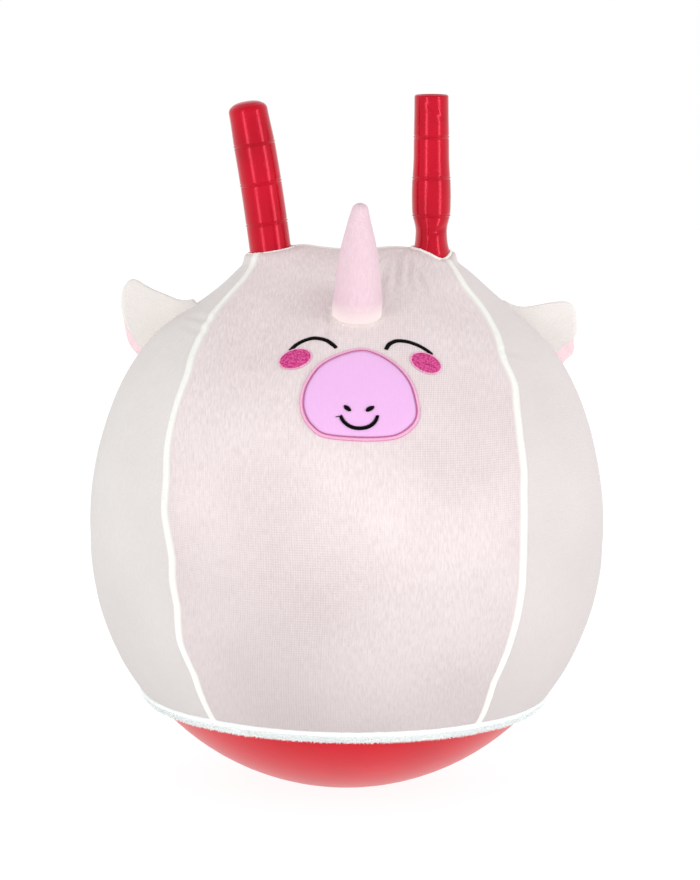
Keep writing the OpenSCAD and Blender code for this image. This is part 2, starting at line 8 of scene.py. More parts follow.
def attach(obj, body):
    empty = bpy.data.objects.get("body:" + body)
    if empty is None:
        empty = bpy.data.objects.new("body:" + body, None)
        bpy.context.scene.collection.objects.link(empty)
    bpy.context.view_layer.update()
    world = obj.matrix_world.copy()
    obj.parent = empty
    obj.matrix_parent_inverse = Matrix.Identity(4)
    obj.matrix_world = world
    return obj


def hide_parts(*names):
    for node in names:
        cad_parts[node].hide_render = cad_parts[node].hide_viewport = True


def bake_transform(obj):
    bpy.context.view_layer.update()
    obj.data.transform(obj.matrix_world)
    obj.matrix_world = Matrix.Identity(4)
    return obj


bl_info = {
    "name": "Plush hopper ball",
    "version": (1, 0, 0),
    "blender": (4, 5, 0),
    "location": "3D View > Sidebar > Hopper Ball",
    "description": "Dresses the packed hopper ball with its plush cover, grips and stitched face",
    "category": "Object",
}

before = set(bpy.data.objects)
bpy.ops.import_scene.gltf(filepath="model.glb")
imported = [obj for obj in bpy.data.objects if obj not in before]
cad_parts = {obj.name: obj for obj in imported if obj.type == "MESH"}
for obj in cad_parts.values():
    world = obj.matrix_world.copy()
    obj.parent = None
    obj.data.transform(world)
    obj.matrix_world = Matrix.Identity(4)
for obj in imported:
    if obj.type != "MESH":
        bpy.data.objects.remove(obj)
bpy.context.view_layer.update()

MM = 0.001
LEFT, RIGHT = -1, 1
FRONT, BACK = 1, -1
NAMES = {LEFT: "left", RIGHT: "right"}

# ball and grips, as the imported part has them: the flat spot that the ball stands on, each grip's root on
# its neck, and its lean in degrees
BALL_R = 225 * MM
FLAT_R = 30 * MM
BALL_Z = math.sqrt(BALL_R**2 - FLAT_R**2)
MIDDLE = np.array([0, 0, BALL_Z])
NECK_H = 42.6 * MM
ROOT_X = 71.3 * MM
ROOT_Z = math.sqrt(BALL_R**2 - ROOT_X**2) + NECK_H
ROOT_R = 18.5 * MM
GRIP_L = 139 * MM
LEAN = {LEFT: 10.0, RIGHT: -1.0}

# cover: its cloth and its room over the ball, the hem's latitude, and each upright seam's azimuth at the
# hem, the power of its bend and the clock angle where it meets the handle's rim
CLOTH = 2.7 * MM
ROOM = 1 * MM
COVER_R = BALL_R + ROOM + CLOTH
HEM_LAT = -38.0
SEAM_AZ = {LEFT: 41.0, RIGHT: 36.5}
SEAM_BEND = {LEFT: 3.4, RIGHT: 4.1}
SEAM_CLOCK = 60.0
SEAM_HALF = 3.0 * MM
WELT_HALF = 3.5 * MM

# the cloth hugs the grips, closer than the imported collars, which leave room for the swing: the hole for a
# grip, how far it closes in at a grip's pinched sides, the room inside a collar, and a collar's half height
HOLE_R = 21.4 * MM
PINCH = {LEFT: 0.8 * MM, RIGHT: 3.4 * MM}
COLLAR_R = 18.75 * MM
COLLAR_TALL = {LEFT: 1.5 * MM, RIGHT: 2.4 * MM}


def unit(v):
    v = np.asarray(v, float)
    return v / np.linalg.norm(v, axis=-1, keepdims=True)


def heading(az, lat):
    """The direction at an azimuth from the front, towards +X, and a latitude, in degrees."""
    az, lat = np.broadcast_arrays(np.radians(az), np.radians(lat))
    return np.stack([np.sin(az) * np.cos(lat), -np.cos(az) * np.cos(lat), np.sin(lat)], -1)


def azimuth(u):
    return np.degrees(np.arctan2(u[..., 0], -u[..., 1]))


def latitude(u):
    return np.degrees(np.arcsin(unit(u)[..., 2]))


def between(u, w):
    """The angle between two directions in degrees."""
    return np.degrees(np.arccos(np.clip((unit(u) * unit(w)).sum(-1), -1, 1)))


def bell(x, width=1.0):
    return np.exp(-((x / width) ** 2))


def softened(values, n, **padding):
    """Values smoothed with their n neighbours on both sides."""
    window = np.hanning(2 * n + 3)
    padded = np.pad(values, n, **(padding or {"mode": "edge"}))
    return np.convolve(padded, window[1:-1] / window.sum(), "valid")


def root_at(side):
    return np.array([side * ROOT_X, 0, ROOT_Z])


def root_axis(side):
    a = math.radians(LEAN[side])
    return np.array([side * math.sin(a), 0, math.cos(a)])


def root_out(side):
    a = math.radians(LEAN[side])
    return np.array([side * math.cos(a), 0, -math.sin(a)])


def clock_out(side, clock):
    """The direction away from a grip's axis at a clock angle, 0 outwards and 90 to the front."""
    c = np.radians(np.asarray(clock, float))[..., None]
    return np.cos(c) * root_out(side) + np.sin(c) * np.array([0, -1.0, 0])


def rim_radius(side, clock):
    """Radius of the hole for a grip, which closes in at the right one's sides and the left's outer one."""
    c = np.cos(np.radians(clock))
    return HOLE_R - PINCH[side] * (abs(c) if side == RIGHT else np.clip(c, 0, 1))


def rim_point(side, clock):
    clock = np.asarray(clock, float)
    return root_at(side) + rim_radius(side, clock)[..., None] * clock_out(side, clock)


# how each collar's edge rises along its grip, in millimetres by clock
COLLAR_LIFT = {
    LEFT: [(0, 0.0), (360, 0.0)],
    RIGHT: [(0, -0.4), (18, -0.8), (42, -4.4), (62, -6.2), (78, -4.6), (98, -0.6), (125, 2.6), (180, 3.8),
            (240, 2.2), (300, 0.4), (360, -0.4)],
}


def collar_lift(side, clock):
    fine = np.linspace(-60, 420, 481)
    lift = softened(np.interp(fine % 360, *zip(*COLLAR_LIFT[side])), 11)
    return np.interp(np.asarray(clock) % 360, fine, lift) * MM


# the cover's form: a domed top, a rise to each collar, a shoulder beside it and a dip outside it, as
# heights, with latitudes and spreads in degrees
DOME = 14 * MM
ROOT_DISTANCE = float(np.linalg.norm(root_at(RIGHT)))
COLLAR_RISE, COLLAR_SPREAD = ROOT_DISTANCE - COVER_R - DOME * ROOT_Z / ROOT_DISTANCE, 14.3
SHOULDER, SHOULDER_LAT, SHOULDER_SPREAD = 10.5 * MM, 46.0, 20.0
DIP, DIP_LAT, DIP_SPREAD = {LEFT: 8.5 * MM, RIGHT: 1.0 * MM}, 61.0, 8.5
# how far the flat seat round a grip fades, in degrees, at the front and back and less at the outer side
SEAT_FADE, SEAT_FADE_OUT, SEAT_ROOM, SEAT_REACH = 2.6, 1.7, 0.2, 40


def cover_radius(u):
    """Distance of the cover's outside from the middle of the ball in the directions u."""
    u = unit(u)
    r = COVER_R + DOME * np.maximum(0, u[..., 2])
    for side in (LEFT, RIGHT):
        r = r + COLLAR_RISE * bell(between(u, root_at(side)), COLLAR_SPREAD)
        r = r + SHOULDER * bell(between(u, heading(side * 90, SHOULDER_LAT)), SHOULDER_SPREAD)
        r = r - DIP[side] * bell(between(u, heading(side * 90, DIP_LAT)), DIP_SPREAD)
    for side in (LEFT, RIGHT):
        a = between(u, root_at(side))
        axis = root_axis(side)
        lean = (u * axis).sum(-1)
        lean = np.where(abs(lean) < 0.2, 0.2, lean)
        seat = root_at(side) @ axis / lean
        p = u * seat[..., None] - root_at(side)
        across, ahead = p @ root_out(side), -p[..., 1]
        outer = np.clip(across / np.maximum(np.hypot(across, ahead), 1e-6), 0, 1)
        clock = np.degrees(np.arctan2(ahead, across))
        seat = seat + collar_lift(side, clock) / lean
        rim = np.degrees(np.arctan(rim_radius(side, clock) / ROOT_DISTANCE)) + SEAT_ROOM
        k = np.where(a <= rim, 1.0, bell(np.maximum(a - rim, 0), SEAT_FADE - SEAT_FADE_OUT * outer))
        r = r + np.where(a > SEAT_REACH, 0.0, k) * (seat - r)
    return r


def on_cover(v, lift=0.0):
    """Points of the cover in the directions v, in the row frame."""
    u = unit(v)
    return u * (cover_radius(u) + lift)[..., None] + MIDDLE


# sideways wander of the upright seams, as pairs of share of the way up and millimetres
WANDER = {
    (LEFT, FRONT): [
        (0, 0), (0.06, -0.3), (0.125, 0.3), (0.2, -6.6), (0.27, -2.3), (0.33, -5), (0.37, -2.9), (0.46, -9.9),
        (0.52, -7.7), (0.58, -9.4), (0.64, -6.7), (0.68, -3.5), (0.725, 0.2), (0.77, -2), (0.87, -0.3),
        (0.91, 4.2), (0.945, 7.7), (0.98, 5.3), (1, 0)],
    (RIGHT, FRONT): [
        (0, 0), (0.03, 0.1), (0.118, -5.5), (0.19, -0.4), (0.26, 2.4), (0.33, 4), (0.42, 1.2), (0.5, 0.4),
        (0.54, 2.1), (0.6, 0.4), (0.667, 0.9), (0.715, 4.4), (0.765, -2), (0.82, 1.9), (0.885, 0.6),
        (0.925, -6.3), (0.96, -4.2), (1, 0)],
    (LEFT, BACK): [(0, 0), (0.2, -3), (0.45, 2), (0.62, -2), (0.8, 3), (1, 0)],
    (RIGHT, BACK): [(0, 0), (0.25, 2), (0.5, -3), (0.7, 2), (0.85, -2), (1, 0)],
}
# where a seam starts to turn into the handle's rim and over which share, and how steeply its wander sets in
TURN_FROM, TURN_OVER, WANDER_RISE = 0.93, 0.07, 25


def seam_line(side, face, t):
    """Directions along an upright seam, from the hem at t 0 to the handle's rim at t 1."""
    t = np.asarray(t, float)
    top = unit(rim_point(side, face * SEAM_CLOCK))
    top_az = abs(float(azimuth(np.array([abs(top[0]), -abs(top[1]), top[2]]))))
    az = SEAM_AZ[side] + (top_az - SEAM_AZ[side]) * t ** SEAM_BEND[side]
    lat = HEM_LAT + (float(latitude(top)) - HEM_LAT) * t
    return heading(az, lat) * np.array([side, face, 1.0])


def beside_seam(side, face, t, w):
    """The seam's line moved sideways by w metres, towards a growing azimuth."""
    t = np.asarray(t, float)
    u = seam_line(side, face, t)
    step = 0.001
    along = seam_line(side, face, np.minimum(1, t + step)) - seam_line(side, face, np.maximum(0, t - step))
    across = np.cross(unit(along), u)
    fine = np.linspace(0, 1, 401)
    stray = softened(np.interp(fine, *zip(*WANDER[side, face])), 8)
    fade = np.sin(np.pi * np.clip(np.minimum(fine, 1 - fine) * WANDER_RISE, 0, 0.5))
    stray = np.interp(t, fine, stray * fade) * MM
    beside = unit(u + across * ((w + stray) / cover_radius(u))[..., None])
    # at its top the seam meets the handle's rim along that rim
    clock = face * SEAM_CLOCK
    top = unit(rim_point(side, clock - side * math.degrees(math.asin(w / HOLE_R))))
    meet = np.clip((t - TURN_FROM) / TURN_OVER, 0, 1)[..., None] ** 2
    return unit((1 - meet) * beside + meet * (u + top - unit(rim_point(side, clock))))


def smooth(n):
    """Shares from 0 to 1 in n steps, closer together at both ends."""
    x = np.linspace(0, 1, n + 1)
    return 0.45 * x + 0.55 * (0.5 - 0.5 * np.cos(np.pi * x))


def patch(bottom, top, start, end, v, w):
    """A Coons patch of directions between four edges."""
    v, w = v[:, None, None], w[None, :, None]
    p = (1 - v) * bottom[None] + v * top[None] + (1 - w) * start[:, None] + w * end[:, None]
    p -= (1 - v) * ((1 - w) * bottom[0] + w * bottom[-1]) + v * ((1 - w) * top[0] + w * top[-1])
    return unit(p)


def evened(g, steps):
    """A grid of directions, each moved to the middle of its neighbours that many times."""
    for _ in range(steps):
        g[1:-1, 1:-1] = unit(g[:-2, 1:-1] + g[2:, 1:-1] + g[1:-1, :-2] + g[1:-1, 2:])
    return g


def hem_row(az0, az1, w):
    """Directions along the hem between two seams."""
    edge = math.degrees(math.asin(SEAM_HALF / (COVER_R * math.cos(math.radians(HEM_LAT)))))
    return heading(az0 + edge + (az1 - az0 - 2 * edge) * w, HEM_LAT)


def resampled(points, shares):
    """The polyline through points, at these shares of its length."""
    d = np.concatenate([[0], np.cumsum(np.linalg.norm(np.diff(points, axis=0), axis=1))])
    return np.stack([np.interp(shares * d[-1], d, column) for column in points.T], -1)


CLOCK_EDGE = math.degrees(math.asin(SEAM_HALF / HOLE_R))


def wide_directions(face, rows, cols):
    """Directions over the front or the back panel."""
    first, mid = (LEFT, 0) if face == FRONT else (RIGHT, 180)
    last = -first
    c0, c1 = face * (SEAM_CLOCK + CLOCK_EDGE), face * (180.0 - CLOCK_EDGE)
    arc = np.linspace(0, 1, 40)
    a = unit(rim_point(first, c0 + (c1 - c0) * arc))
    b = unit(rim_point(last, c1 + (c0 - c1) * arc))
    mid_way = unit(a[-1] + (b[0] - a[-1]) * np.linspace(0, 1, 60)[1:-1, None])
    v, w = smooth(rows), smooth(cols)
    # the rims take a third of the columns each, so that the cloth isn't sheared
    k = cols // 3
    top = np.concatenate([
        resampled(a, np.linspace(0, 1, k + 1))[:-1],
        resampled(np.concatenate([a[-1:], mid_way, b[:1]]), np.linspace(0, 1, cols - 2 * k + 1))[:-1],
        resampled(b, np.linspace(0, 1, k + 1)),
    ])
    bottom = hem_row(mid - SEAM_AZ[first], mid + SEAM_AZ[last], w)
    start = beside_seam(first, face, v, SEAM_HALF)
    end = beside_seam(last, face, v, -SEAM_HALF)
    return evened(patch(bottom, unit(top), start, end, v, w), 60)


def side_directions(side, rows, cols):
    """Directions over a side panel, from the front to the back on the right and the other way on the left."""
    face = FRONT if side == RIGHT else BACK
    c = SEAM_CLOCK - CLOCK_EDGE
    v, w = smooth(rows), smooth(cols)
    az = SEAM_AZ[side]
    bottom = hem_row(*((az, 180 - az) if side == RIGHT else (-180 + az, -az)), w)
    top = unit(rim_point(side, face * (c - 2 * c * w)))
    start = beside_seam(side, face, v, SEAM_HALF)
    end = beside_seam(side, -face, v, -SEAM_HALF)
    return evened(patch(bottom, top, start, end, v, w), 6)


# creases and pleats of the cloth: depth and half width in millimetres, then azimuths and latitudes
CREASES = [
    (1.6, 2.2, [(-12.4, 62.9), (-11.3, 58.7), (-10.8, 54.5)]),
    (-1.0, 4.0, [(-13.0, 60.6), (-14.3, 57.4), (-15.9, 54.6)]),
    (2.0, 2.6, [(66.6, 79.3), (44.3, 77.3), (30.9, 73.7), (22.4, 68.8)]),
    (2.2, 2.2, [(55.4, 76.9), (45.1, 74.5), (35.1, 71.0)]),
    (1.6, 3.4, [(65.2, 80.0), (37.4, 78.6), (19.1, 73.3), (11.9, 67.2)]),
    (1.3, 3.6, [(63.1, 81.1), (36.6, 81.0), (17.8, 77.3)]),
    (1.3, 3.2, [(53.2, 75.4), (44.4, 71.6), (38.6, 65.9)]),
    (1.0, 3.4, [(56.6, 74.1), (50.2, 69.2), (47.1, 63.7)]),
    (1.2, 3.0, [(-76.3, 53.7), (-68.1, 54.2), (-60.4, 54.4)]),
    (1.0, 3.0, [(-72.9, 51.6), (-64.2, 51.7), (-57.3, 51.2)]),
    (0.9, 2.6, [(51.1, 48.4), (56.0, 47.3), (60.3, 46.0)]),
    (0.8, 2.6, [(44.5, -16.3), (53.3, -18.2)]),
    (0.5, 2.4, [(21.4, -17.7), (22.8, -22.8), (23.9, -28.3)]),
    (-0.5, 1.8, [(-22.4, -26.2), (-20.5, -29.8), (-16.9, -28.3), (-15.2, -22.8), (-15.2, -16.6)]),
    (1.0, 4.0, [(-74.6, 67.1), (-70.8, 63.3), (-69.0, 58.7)]),
]
# creases are laid out on a ball of this radius, each with a low ridge beside it
RELIEF_R, RIDGE, RIDGE_AT = 0.235, 0.45, 2.0


def from_line(p, line):
    """Distance of the points p from a polyline, and the share of the way along it."""
    near, along = np.full(p.shape[:-1], 9.0), np.zeros(p.shape[:-1])
    n = len(line) - 1
    for k in range(n):
        a, d = line[k], line[k + 1] - line[k]
        t = np.clip(((p - a) @ d) / (d @ d), 0, 1)
        far = np.linalg.norm(p - a - t[..., None] * d, axis=-1)
        closer = far < near
        near, along = np.where(closer, far, near), np.where(closer, (k + t) / n, along)
    return near, along


def wavy(p, size, seed):
    """Smooth noise of that size in metres at the points p."""
    flat = p.reshape(-1, 3) * (1 / size) + seed * 7.31
    return np.array([noise.noise(q) for q in flat.tolist()]).reshape(p.shape[:-1])


def waves(p, *kinds):
    """A sum of smooth noise at the points p, each kind given as its height, size and seed."""
    return sum(high * wavy(p, size, seed) for high, size, seed in kinds)


def relief(u):
    """How far the cloth stands off the cover's smooth form: creases, pleats and slight unevenness."""
    p = unit(u) * RELIEF_R
    lift = waves(p, (0.5 * MM, 0.055, 1), (0.25 * MM, 0.02, 2))
    for depth, half, way in CREASES:
        far, along = from_line(p, heading(*np.array(way).T) * RELIEF_R)
        fade = np.sin(np.pi * np.clip(0.12 + 0.8 * along, 0, 1)) ** 0.7
        x = far / (half * MM)
        lift -= depth * MM * fade * (bell(x) - RIDGE * bell(x - RIDGE_AT))
    return lift


# Meshes


def linked(name, mesh):
    o = bpy.data.objects.new(name, mesh)
    bpy.context.scene.collection.objects.link(o)
    return o


def piece(name, points, faces, uvs=None, finish=None):
    """A smooth mesh piece at the origin from points in the row frame."""
    mesh = bpy.data.meshes.new(name)
    mesh.from_pydata(np.asarray(points).tolist(), [], faces)
    if uvs is not None:
        layer = mesh.uv_layers.new(name="cloth")
        corner = np.zeros(len(mesh.loops), int)
        mesh.loops.foreach_get("vertex_index", corner)
        layer.data.foreach_set("uv", np.asarray(uvs, float)[corner].astype(np.float32).ravel())
    mesh.polygons.foreach_set("use_smooth", [True] * len(mesh.polygons))
    if finish:
        mesh.materials.append(paint(finish))
    mesh.update()
    return linked(name, mesh)


def quads(*corners):
    return np.stack(corners, -1).reshape(-1, 4).tolist()


def skin_faces(rows, cols, wrap):
    """Faces of a closed skin between an outer and an inner grid of points."""
    n = rows * cols
    spans = cols if wrap else cols - 1
    i, j = np.meshgrid(np.arange(rows - 1), np.arange(spans), indexing="ij")
    a, b = i * cols + j, i * cols + (j + 1) % cols
    c, d = b + cols, a + cols
    faces = quads(a, b, c, d) + quads(n + a, n + d, n + c, n + b)
    for j in range(spans):
        a, b = j, (j + 1) % cols
        c, d = (rows - 1) * cols + b, (rows - 1) * cols + a
        faces += [[b, a, n + a, n + b], [d, c, n + c, n + d]]
    if not wrap:
        for i in range(rows - 1):
            a, d = i * cols, (i + 1) * cols
            b, c = a + cols - 1, d + cols - 1
            faces += [[a, d, n + d, n + a], [c, b, n + b, n + c]]
    return faces


def lengths(grid):
    """Distance across and up to each point of a grid, as UVs in metres."""
    steps = [np.linalg.norm(np.diff(grid, axis=k), axis=-1) for k in (0, 1)]
    across = np.cumsum(np.concatenate([np.zeros((len(grid), 1)), steps[1]], 1), 1)
    across -= across[:, across.shape[1] // 2, None]
    up = np.cumsum(np.concatenate([np.zeros((1, grid.shape[1])), steps[0]], 0), 0)
    return np.stack([across, up], -1)


def skin(name, outer, inner, finish=None, wrap=False):
    """A closed skin between two grids of points."""
    uv = lengths(outer).reshape(-1, 2)
    points = np.concatenate([outer.reshape(-1, 3), inner.reshape(-1, 3)])
    return piece(name, points, skin_faces(*outer.shape[:2], wrap), np.concatenate([uv, uv]), finish)


def capped(name, ring, uv, finish):
    """A closed form from rings of points, with a point in the middle of its first and last ring."""
    rows, sides = ring.shape[:2]
    i, j = np.meshgrid(np.arange(rows - 1), np.arange(sides), indexing="ij")
    p, q = i * sides + j, i * sides + (j + 1) % sides
    faces = quads(p, q, q + sides, p + sides)
    last, low, high = (rows - 1) * sides, rows * sides, rows * sides + 1
    for j in range(sides):
        k = (j + 1) % sides
        faces += [[k, j, low], [last + j, last + k, high]]
    points = np.concatenate([ring.reshape(-1, 3), [ring[0].mean(0)], [ring[-1].mean(0)]])
    ends = [[0, uv[0, 0, 1]], [0, uv[-1, 0, 1]]]
    return piece(name, points, faces, np.concatenate([uv.reshape(-1, 2), ends]), finish)


def band(name, rows, uv, finish, order):
    """A closed band from rows of points round its section, with its faces' corners in that order. Gives the
    piece, its points and its faces."""
    grid = np.array(rows) + MIDDLE
    n, cols = grid.shape[:2]
    i, j = np.meshgrid(np.arange(n), np.arange(cols), indexing="ij")
    up, on = (i + 1) % n * cols, (j + 1) % cols
    corners = i * cols + j, i * cols + on, up + on, up + j
    faces = quads(*(corners[k] for k in order))
    uv = np.stack(np.broadcast_arrays(*uv), -1).reshape(-1, 2)
    points = grid.reshape(-1, 3)
    return piece(name, points, faces, uv, finish), points, faces


# Nodes and materials


def live(value):
    """A node's first output in use. Anything else stays as it is."""
    return next(s for s in value.outputs if s.enabled) if isinstance(value, bpy.types.Node) else value


def feed(tree, node, inputs):
    """Give a node its inputs, each as a value, another node's output or another node."""
    for key, value in inputs.items():
        value = live(value)
        if isinstance(value, bpy.types.NodeSocket):
            tree.links.new(value, node.inputs[key])
        else:
            node.inputs[key].default_value = value


def add(tree, kind, inputs=None, stops=(), **settings):
    """One node with its settings and inputs, and a ramp's stops as places and colour codes."""
    n = tree.nodes.new(kind)
    for key, value in settings.items():
        setattr(n, key, value)
    for k, (place, code) in enumerate(stops):
        n.color_ramp.elements[k].position, n.color_ramp.elements[k].color = place, colour(code)
    feed(tree, n, inputs or {})
    return n


def colour(code):
    """An sRGB hex colour as Blender's linear colour."""
    parts = (int(code[k : k + 2], 16) / 255 for k in (1, 3, 5))
    return (*(c / 12.92 if c <= 0.04045 else ((c + 0.055) / 1.055) ** 2.4 for c in parts), 1.0)


def material(name, **principled):
    """A new material with these values on its shader. Gives its tree and its shader."""
    m = bpy.data.materials.new(name)
    m.use_nodes = True
    shader = m.node_tree.nodes["Principled BSDF"]
    feed(m.node_tree, shader, {key.replace("_", " "): value for key, value in principled.items()})
    return m.node_tree, shader


def faded(tree, shade, code, value, start, stop, most=1.0, curve="SMOOTHSTEP"):
    """A shade that turns to another colour while a value goes from start to stop."""
    spans = {"Value": value, "From Min": start, "From Max": stop, "To Max": most}
    share = add(tree, "ShaderNodeMapRange", spans, interpolation_type=curve)
    return add(tree, "ShaderNodeMix", {"Factor": share, "A": shade, "B": colour(code)}, data_type="RGBA")


def finished(tree, shader, shade, height, strength, distance):
    """Give a shader its colour, and its bump over that many metres."""
    bump = add(tree, "ShaderNodeBump", {"Height": height, "Strength": strength, "Distance": distance})
    feed(tree, shader, {"Base Color": shade, "Normal": bump})


# a wave texture of this scale repeats once a unit
ONE_WAVE = 0.31416
# the grey of a painted shade that darkens the cover towards the hem
LOW_PAINTED_SHADE = "#a09a9a"


def plush(
    name, light, tint, rib=2.1 * MM, pile=0.5, streaks=0.45, rim=None, knitted=True, low=0.0, foot=None
):
    """Velboa, a knitted polyester with a cut pile of 1.5 to 2 mm: soft and matt, pale at grazing
    angles. Stretched thin it shows the knit's ribs and courses, and elsewhere its brushed pile. A
    rim, as half width and colour, is what a band fades into at its edges. Low is a painted shade
    that greys the cloth towards the hem. Foot, as height and colour, is what a form fades into at
    its sewn end: partly its own paler cloth there, partly painted light over the shade at that end."""
    t, shader = material(
        name, Roughness=0.95, Sheen_Weight=0.12, Sheen_Roughness=0.5, Specular_IOR_Level=0.1)
    where = add(t, "ShaderNodeTexCoord").outputs
    wide = {"Vector": where["Object"], "Scale": 11.0, "Detail": 3.0, "Roughness": 0.5}
    cloud = add(t, "ShaderNodeTexNoise", wide)
    areas = add(t, "ShaderNodeTexNoise", {"Vector": where["Object"], "Scale": 5.0, "Detail": 1.0})
    spans = {"Value": areas, "From Min": 0.42, "From Max": 0.6, "To Min": 0.55, "To Max": 1.0}
    brushed = add(t, "ShaderNodeMapRange", spans)
    # tufts lie in streaks 1.7 mm across and about 8 mm long, up the cloth
    size = 1 / (1.7 * MM), 1 / (8 * MM), 1.0
    tufts = add(t, "ShaderNodeMapping", {"Vector": where["UV"], "Scale": size})
    fine = {"Vector": tufts, "Scale": 1.0, "Roughness": 0.6, "Distortion": 0.4}
    streak = add(t, "ShaderNodeTexNoise", fine)
    # ribs and courses of the knit, at the rib's spacing
    knit = add(t, "ShaderNodeMapping", {"Vector": where["UV"], "Scale": (1 / rib, 1 / rib, 1.0)})
    ways = {"Vector": knit, "Scale": ONE_WAVE, "Distortion": 0.5, "Detail": 1.0}
    ribs, courses = (add(t, "ShaderNodeTexWave", ways, bands_direction=k).outputs["Fac"] for k in "XY")
    grid = add(t, "ShaderNodeMath", {0: ribs, 1: courses}, operation="MULTIPLY")
    pattern = add(t, "ShaderNodeMix", {"Factor": brushed if knitted else 1.0, "A": grid, "B": streak})
    cloudy = add(t, "ShaderNodeMath", {0: cloud, 1: 0.36, 2: 0.125}, operation="MULTIPLY_ADD")
    tone = add(t, "ShaderNodeMath", {0: pattern, 1: streaks, 2: cloudy}, operation="MULTIPLY_ADD")
    shade = add(t, "ShaderNodeValToRGB", {"Fac": tone}, ((0.32, tint), (0.74, light)))
    if rim or foot:
        across, up, _ = add(t, "ShaderNodeSeparateXYZ", {"Vector": where["UV"]}).outputs
    if rim:
        half, code = rim
        far = add(t, "ShaderNodeMath", {0: across}, operation="ABSOLUTE")
        shade = faded(t, shade, code, far, 0.34 * half, half)
    # the fade at a form's foot is partly its own paler cloth and partly painted light over the shade there
    if foot:
        tall, code = foot
        shade = faded(t, shade, code, up, 1.6 * tall, 0.3 * tall)
    # painted shade: the cloth greys from 0.28 m down to 0.06 m over the floor, by up to low
    if low:
        height = add(t, "ShaderNodeSeparateXYZ", {"Vector": where["Object"]}).outputs["Z"]
        shade = faded(t, shade, LOW_PAINTED_SHADE, height, 0.28, 0.06, low, "LINEAR")
    nap = add(t, "ShaderNodeTexNoise", {"Vector": where["Object"], "Scale": 800.0})
    high = add(t, "ShaderNodeMath", {0: pattern, 1: 0.9, 2: nap}, operation="MULTIPLY_ADD")
    finished(t, shader, shade, high, pile, 0.7 * MM)


def thread(name, code, dark, level=0.4, grains=1400.0):
    """Rayon embroidery thread: silky, with a narrow gloss along each 0.4 mm strand."""
    t, shader = material(name, Roughness=0.42, Specular_IOR_Level=level)
    where = add(t, "ShaderNodeTexCoord").outputs["Object"]
    grain = add(t, "ShaderNodeTexNoise", {"Vector": where, "Scale": grains})
    shade = add(t, "ShaderNodeValToRGB", {"Fac": grain}, ((0.38, dark), (0.6, code)))
    finished(t, shader, shade, grain, 0.4, 0.2 * MM)


def soft_vinyl(name, code, dark, gloss, level=0.5, specks=0.0, glint="#ffffff"):
    """Rotationally moulded plasticised PVC: deep colour, a satin to wet gloss, a faint orange peel
    and, in the grips, small bubbles under the skin."""
    t, shader = material(name, Roughness=gloss, IOR=1.53, Specular_IOR_Level=level)
    feed(t, shader, {"Specular Tint": colour(glint)})
    where = add(t, "ShaderNodeTexCoord").outputs["Object"]
    bubbles = add(t, "ShaderNodeTexVoronoi", {"Vector": where, "Scale": 380.0})
    spans = {"Value": bubbles, "From Min": 0.06, "From Max": 0.22, "To Min": -specks, "To Max": 0.0}
    pits = add(t, "ShaderNodeMapRange", spans)
    peel = add(t, "ShaderNodeTexNoise", {"Vector": where, "Scale": 260.0})
    high = add(t, "ShaderNodeMath", {0: peel, 1: 0.35, 2: pits}, operation="MULTIPLY_ADD")
    cloud = add(t, "ShaderNodeTexNoise", {"Vector": where, "Scale": 22.0, "Detail": 3.0})
    shade = add(t, "ShaderNodeValToRGB", {"Fac": cloud}, ((0.3, dark), (0.7, code)))
    finished(t, shader, shade, high, 0.25, 0.6 * MM)


def paint(name):
    """A material by its name. All are made at the first call."""
    if name not in bpy.data.materials:
        soft_vinyl("Vinyl ball", "#d0001c", "#c40019", 0.3, 0.4, glint="#ff5a70")
        soft_vinyl("Vinyl grip", "#be001e", "#a80018", 0.2, 1.0, 0.6, "#ff6c80")
        soft_vinyl("Valve PVC", "#e2e2de", "#d8d8d4", 0.45)
        soft_vinyl("Plug polythene", "#e8e8e4", "#dededa", 0.4)
        # the cream and side panels carry a painted shade towards the hem, set by low
        plush("Velboa cream", "#e9dddd", "#ccbdbf", streaks=0.64, low=0.5)
        plush("Velboa left side", "#e1ddda", "#d4cfcd", low=0.3)
        plush("Velboa right side", "#e2dad9", "#d4cdcc", low=0.34)
        plush("Welt pile", "#f6f6f1", "#ebebe6", pile=0.4, rim=(5.0 * MM, "#dfd8d6"))
        plush("Pile white", "#fbfbf8", "#f2f2ee")
        # the hem's white leans slightly to cyan: painted against the red light that the ball bounces onto it
        plush("Hem pile", "#f8fcfb", "#eef3f3")
        plush("Gather pile", "#e3d8d5", "#d7cac8", pile=0.6, knitted=False)
        # the horn pales towards its foot: partly its cream lower edge, partly painted light over the shade
        # where the foot tucks in
        cream_and_painted_light_foot = 11 * MM, "#f6e6e6"
        plush("Velboa pink", "#e5cdd6", "#d9b9c4", pile=0.8, streaks=0.5, knitted=False, foot=cream_and_painted_light_foot)
        plush("Ear velboa", "#ece8e4", "#e2dcd8", knitted=False)
        plush("Ear lining", "#fbe6eb", "#f5d6de", knitted=False)
        plush("Snout plush", "#ebbbea", "#e2afe1", rib=1.2 * MM, pile=0.25)
        plush("Elastic braid", "#e2e2e0", "#cdcdca", rib=1.2 * MM)
        plush("Stuffing fibre", "#eae6e2", "#dedad5", rib=4 * MM)
        thread("Thread pale pink", "#f6bedd", "#ecaccf")
        thread("Thread rose", "#c66f9f", "#b25a8a")
        thread("Thread outline", "#d48cb2", "#c2759d")
        thread("Thread black", "#080505", "#030202", 0.08)
        thread("Thread magenta", "#e05aa0", "#b3206b", 0.3, 620.0)
        thread("Thread cheek edge", "#f6c3db", "#e79dc2", 0.3, 700.0)
    return bpy.data.materials[name]


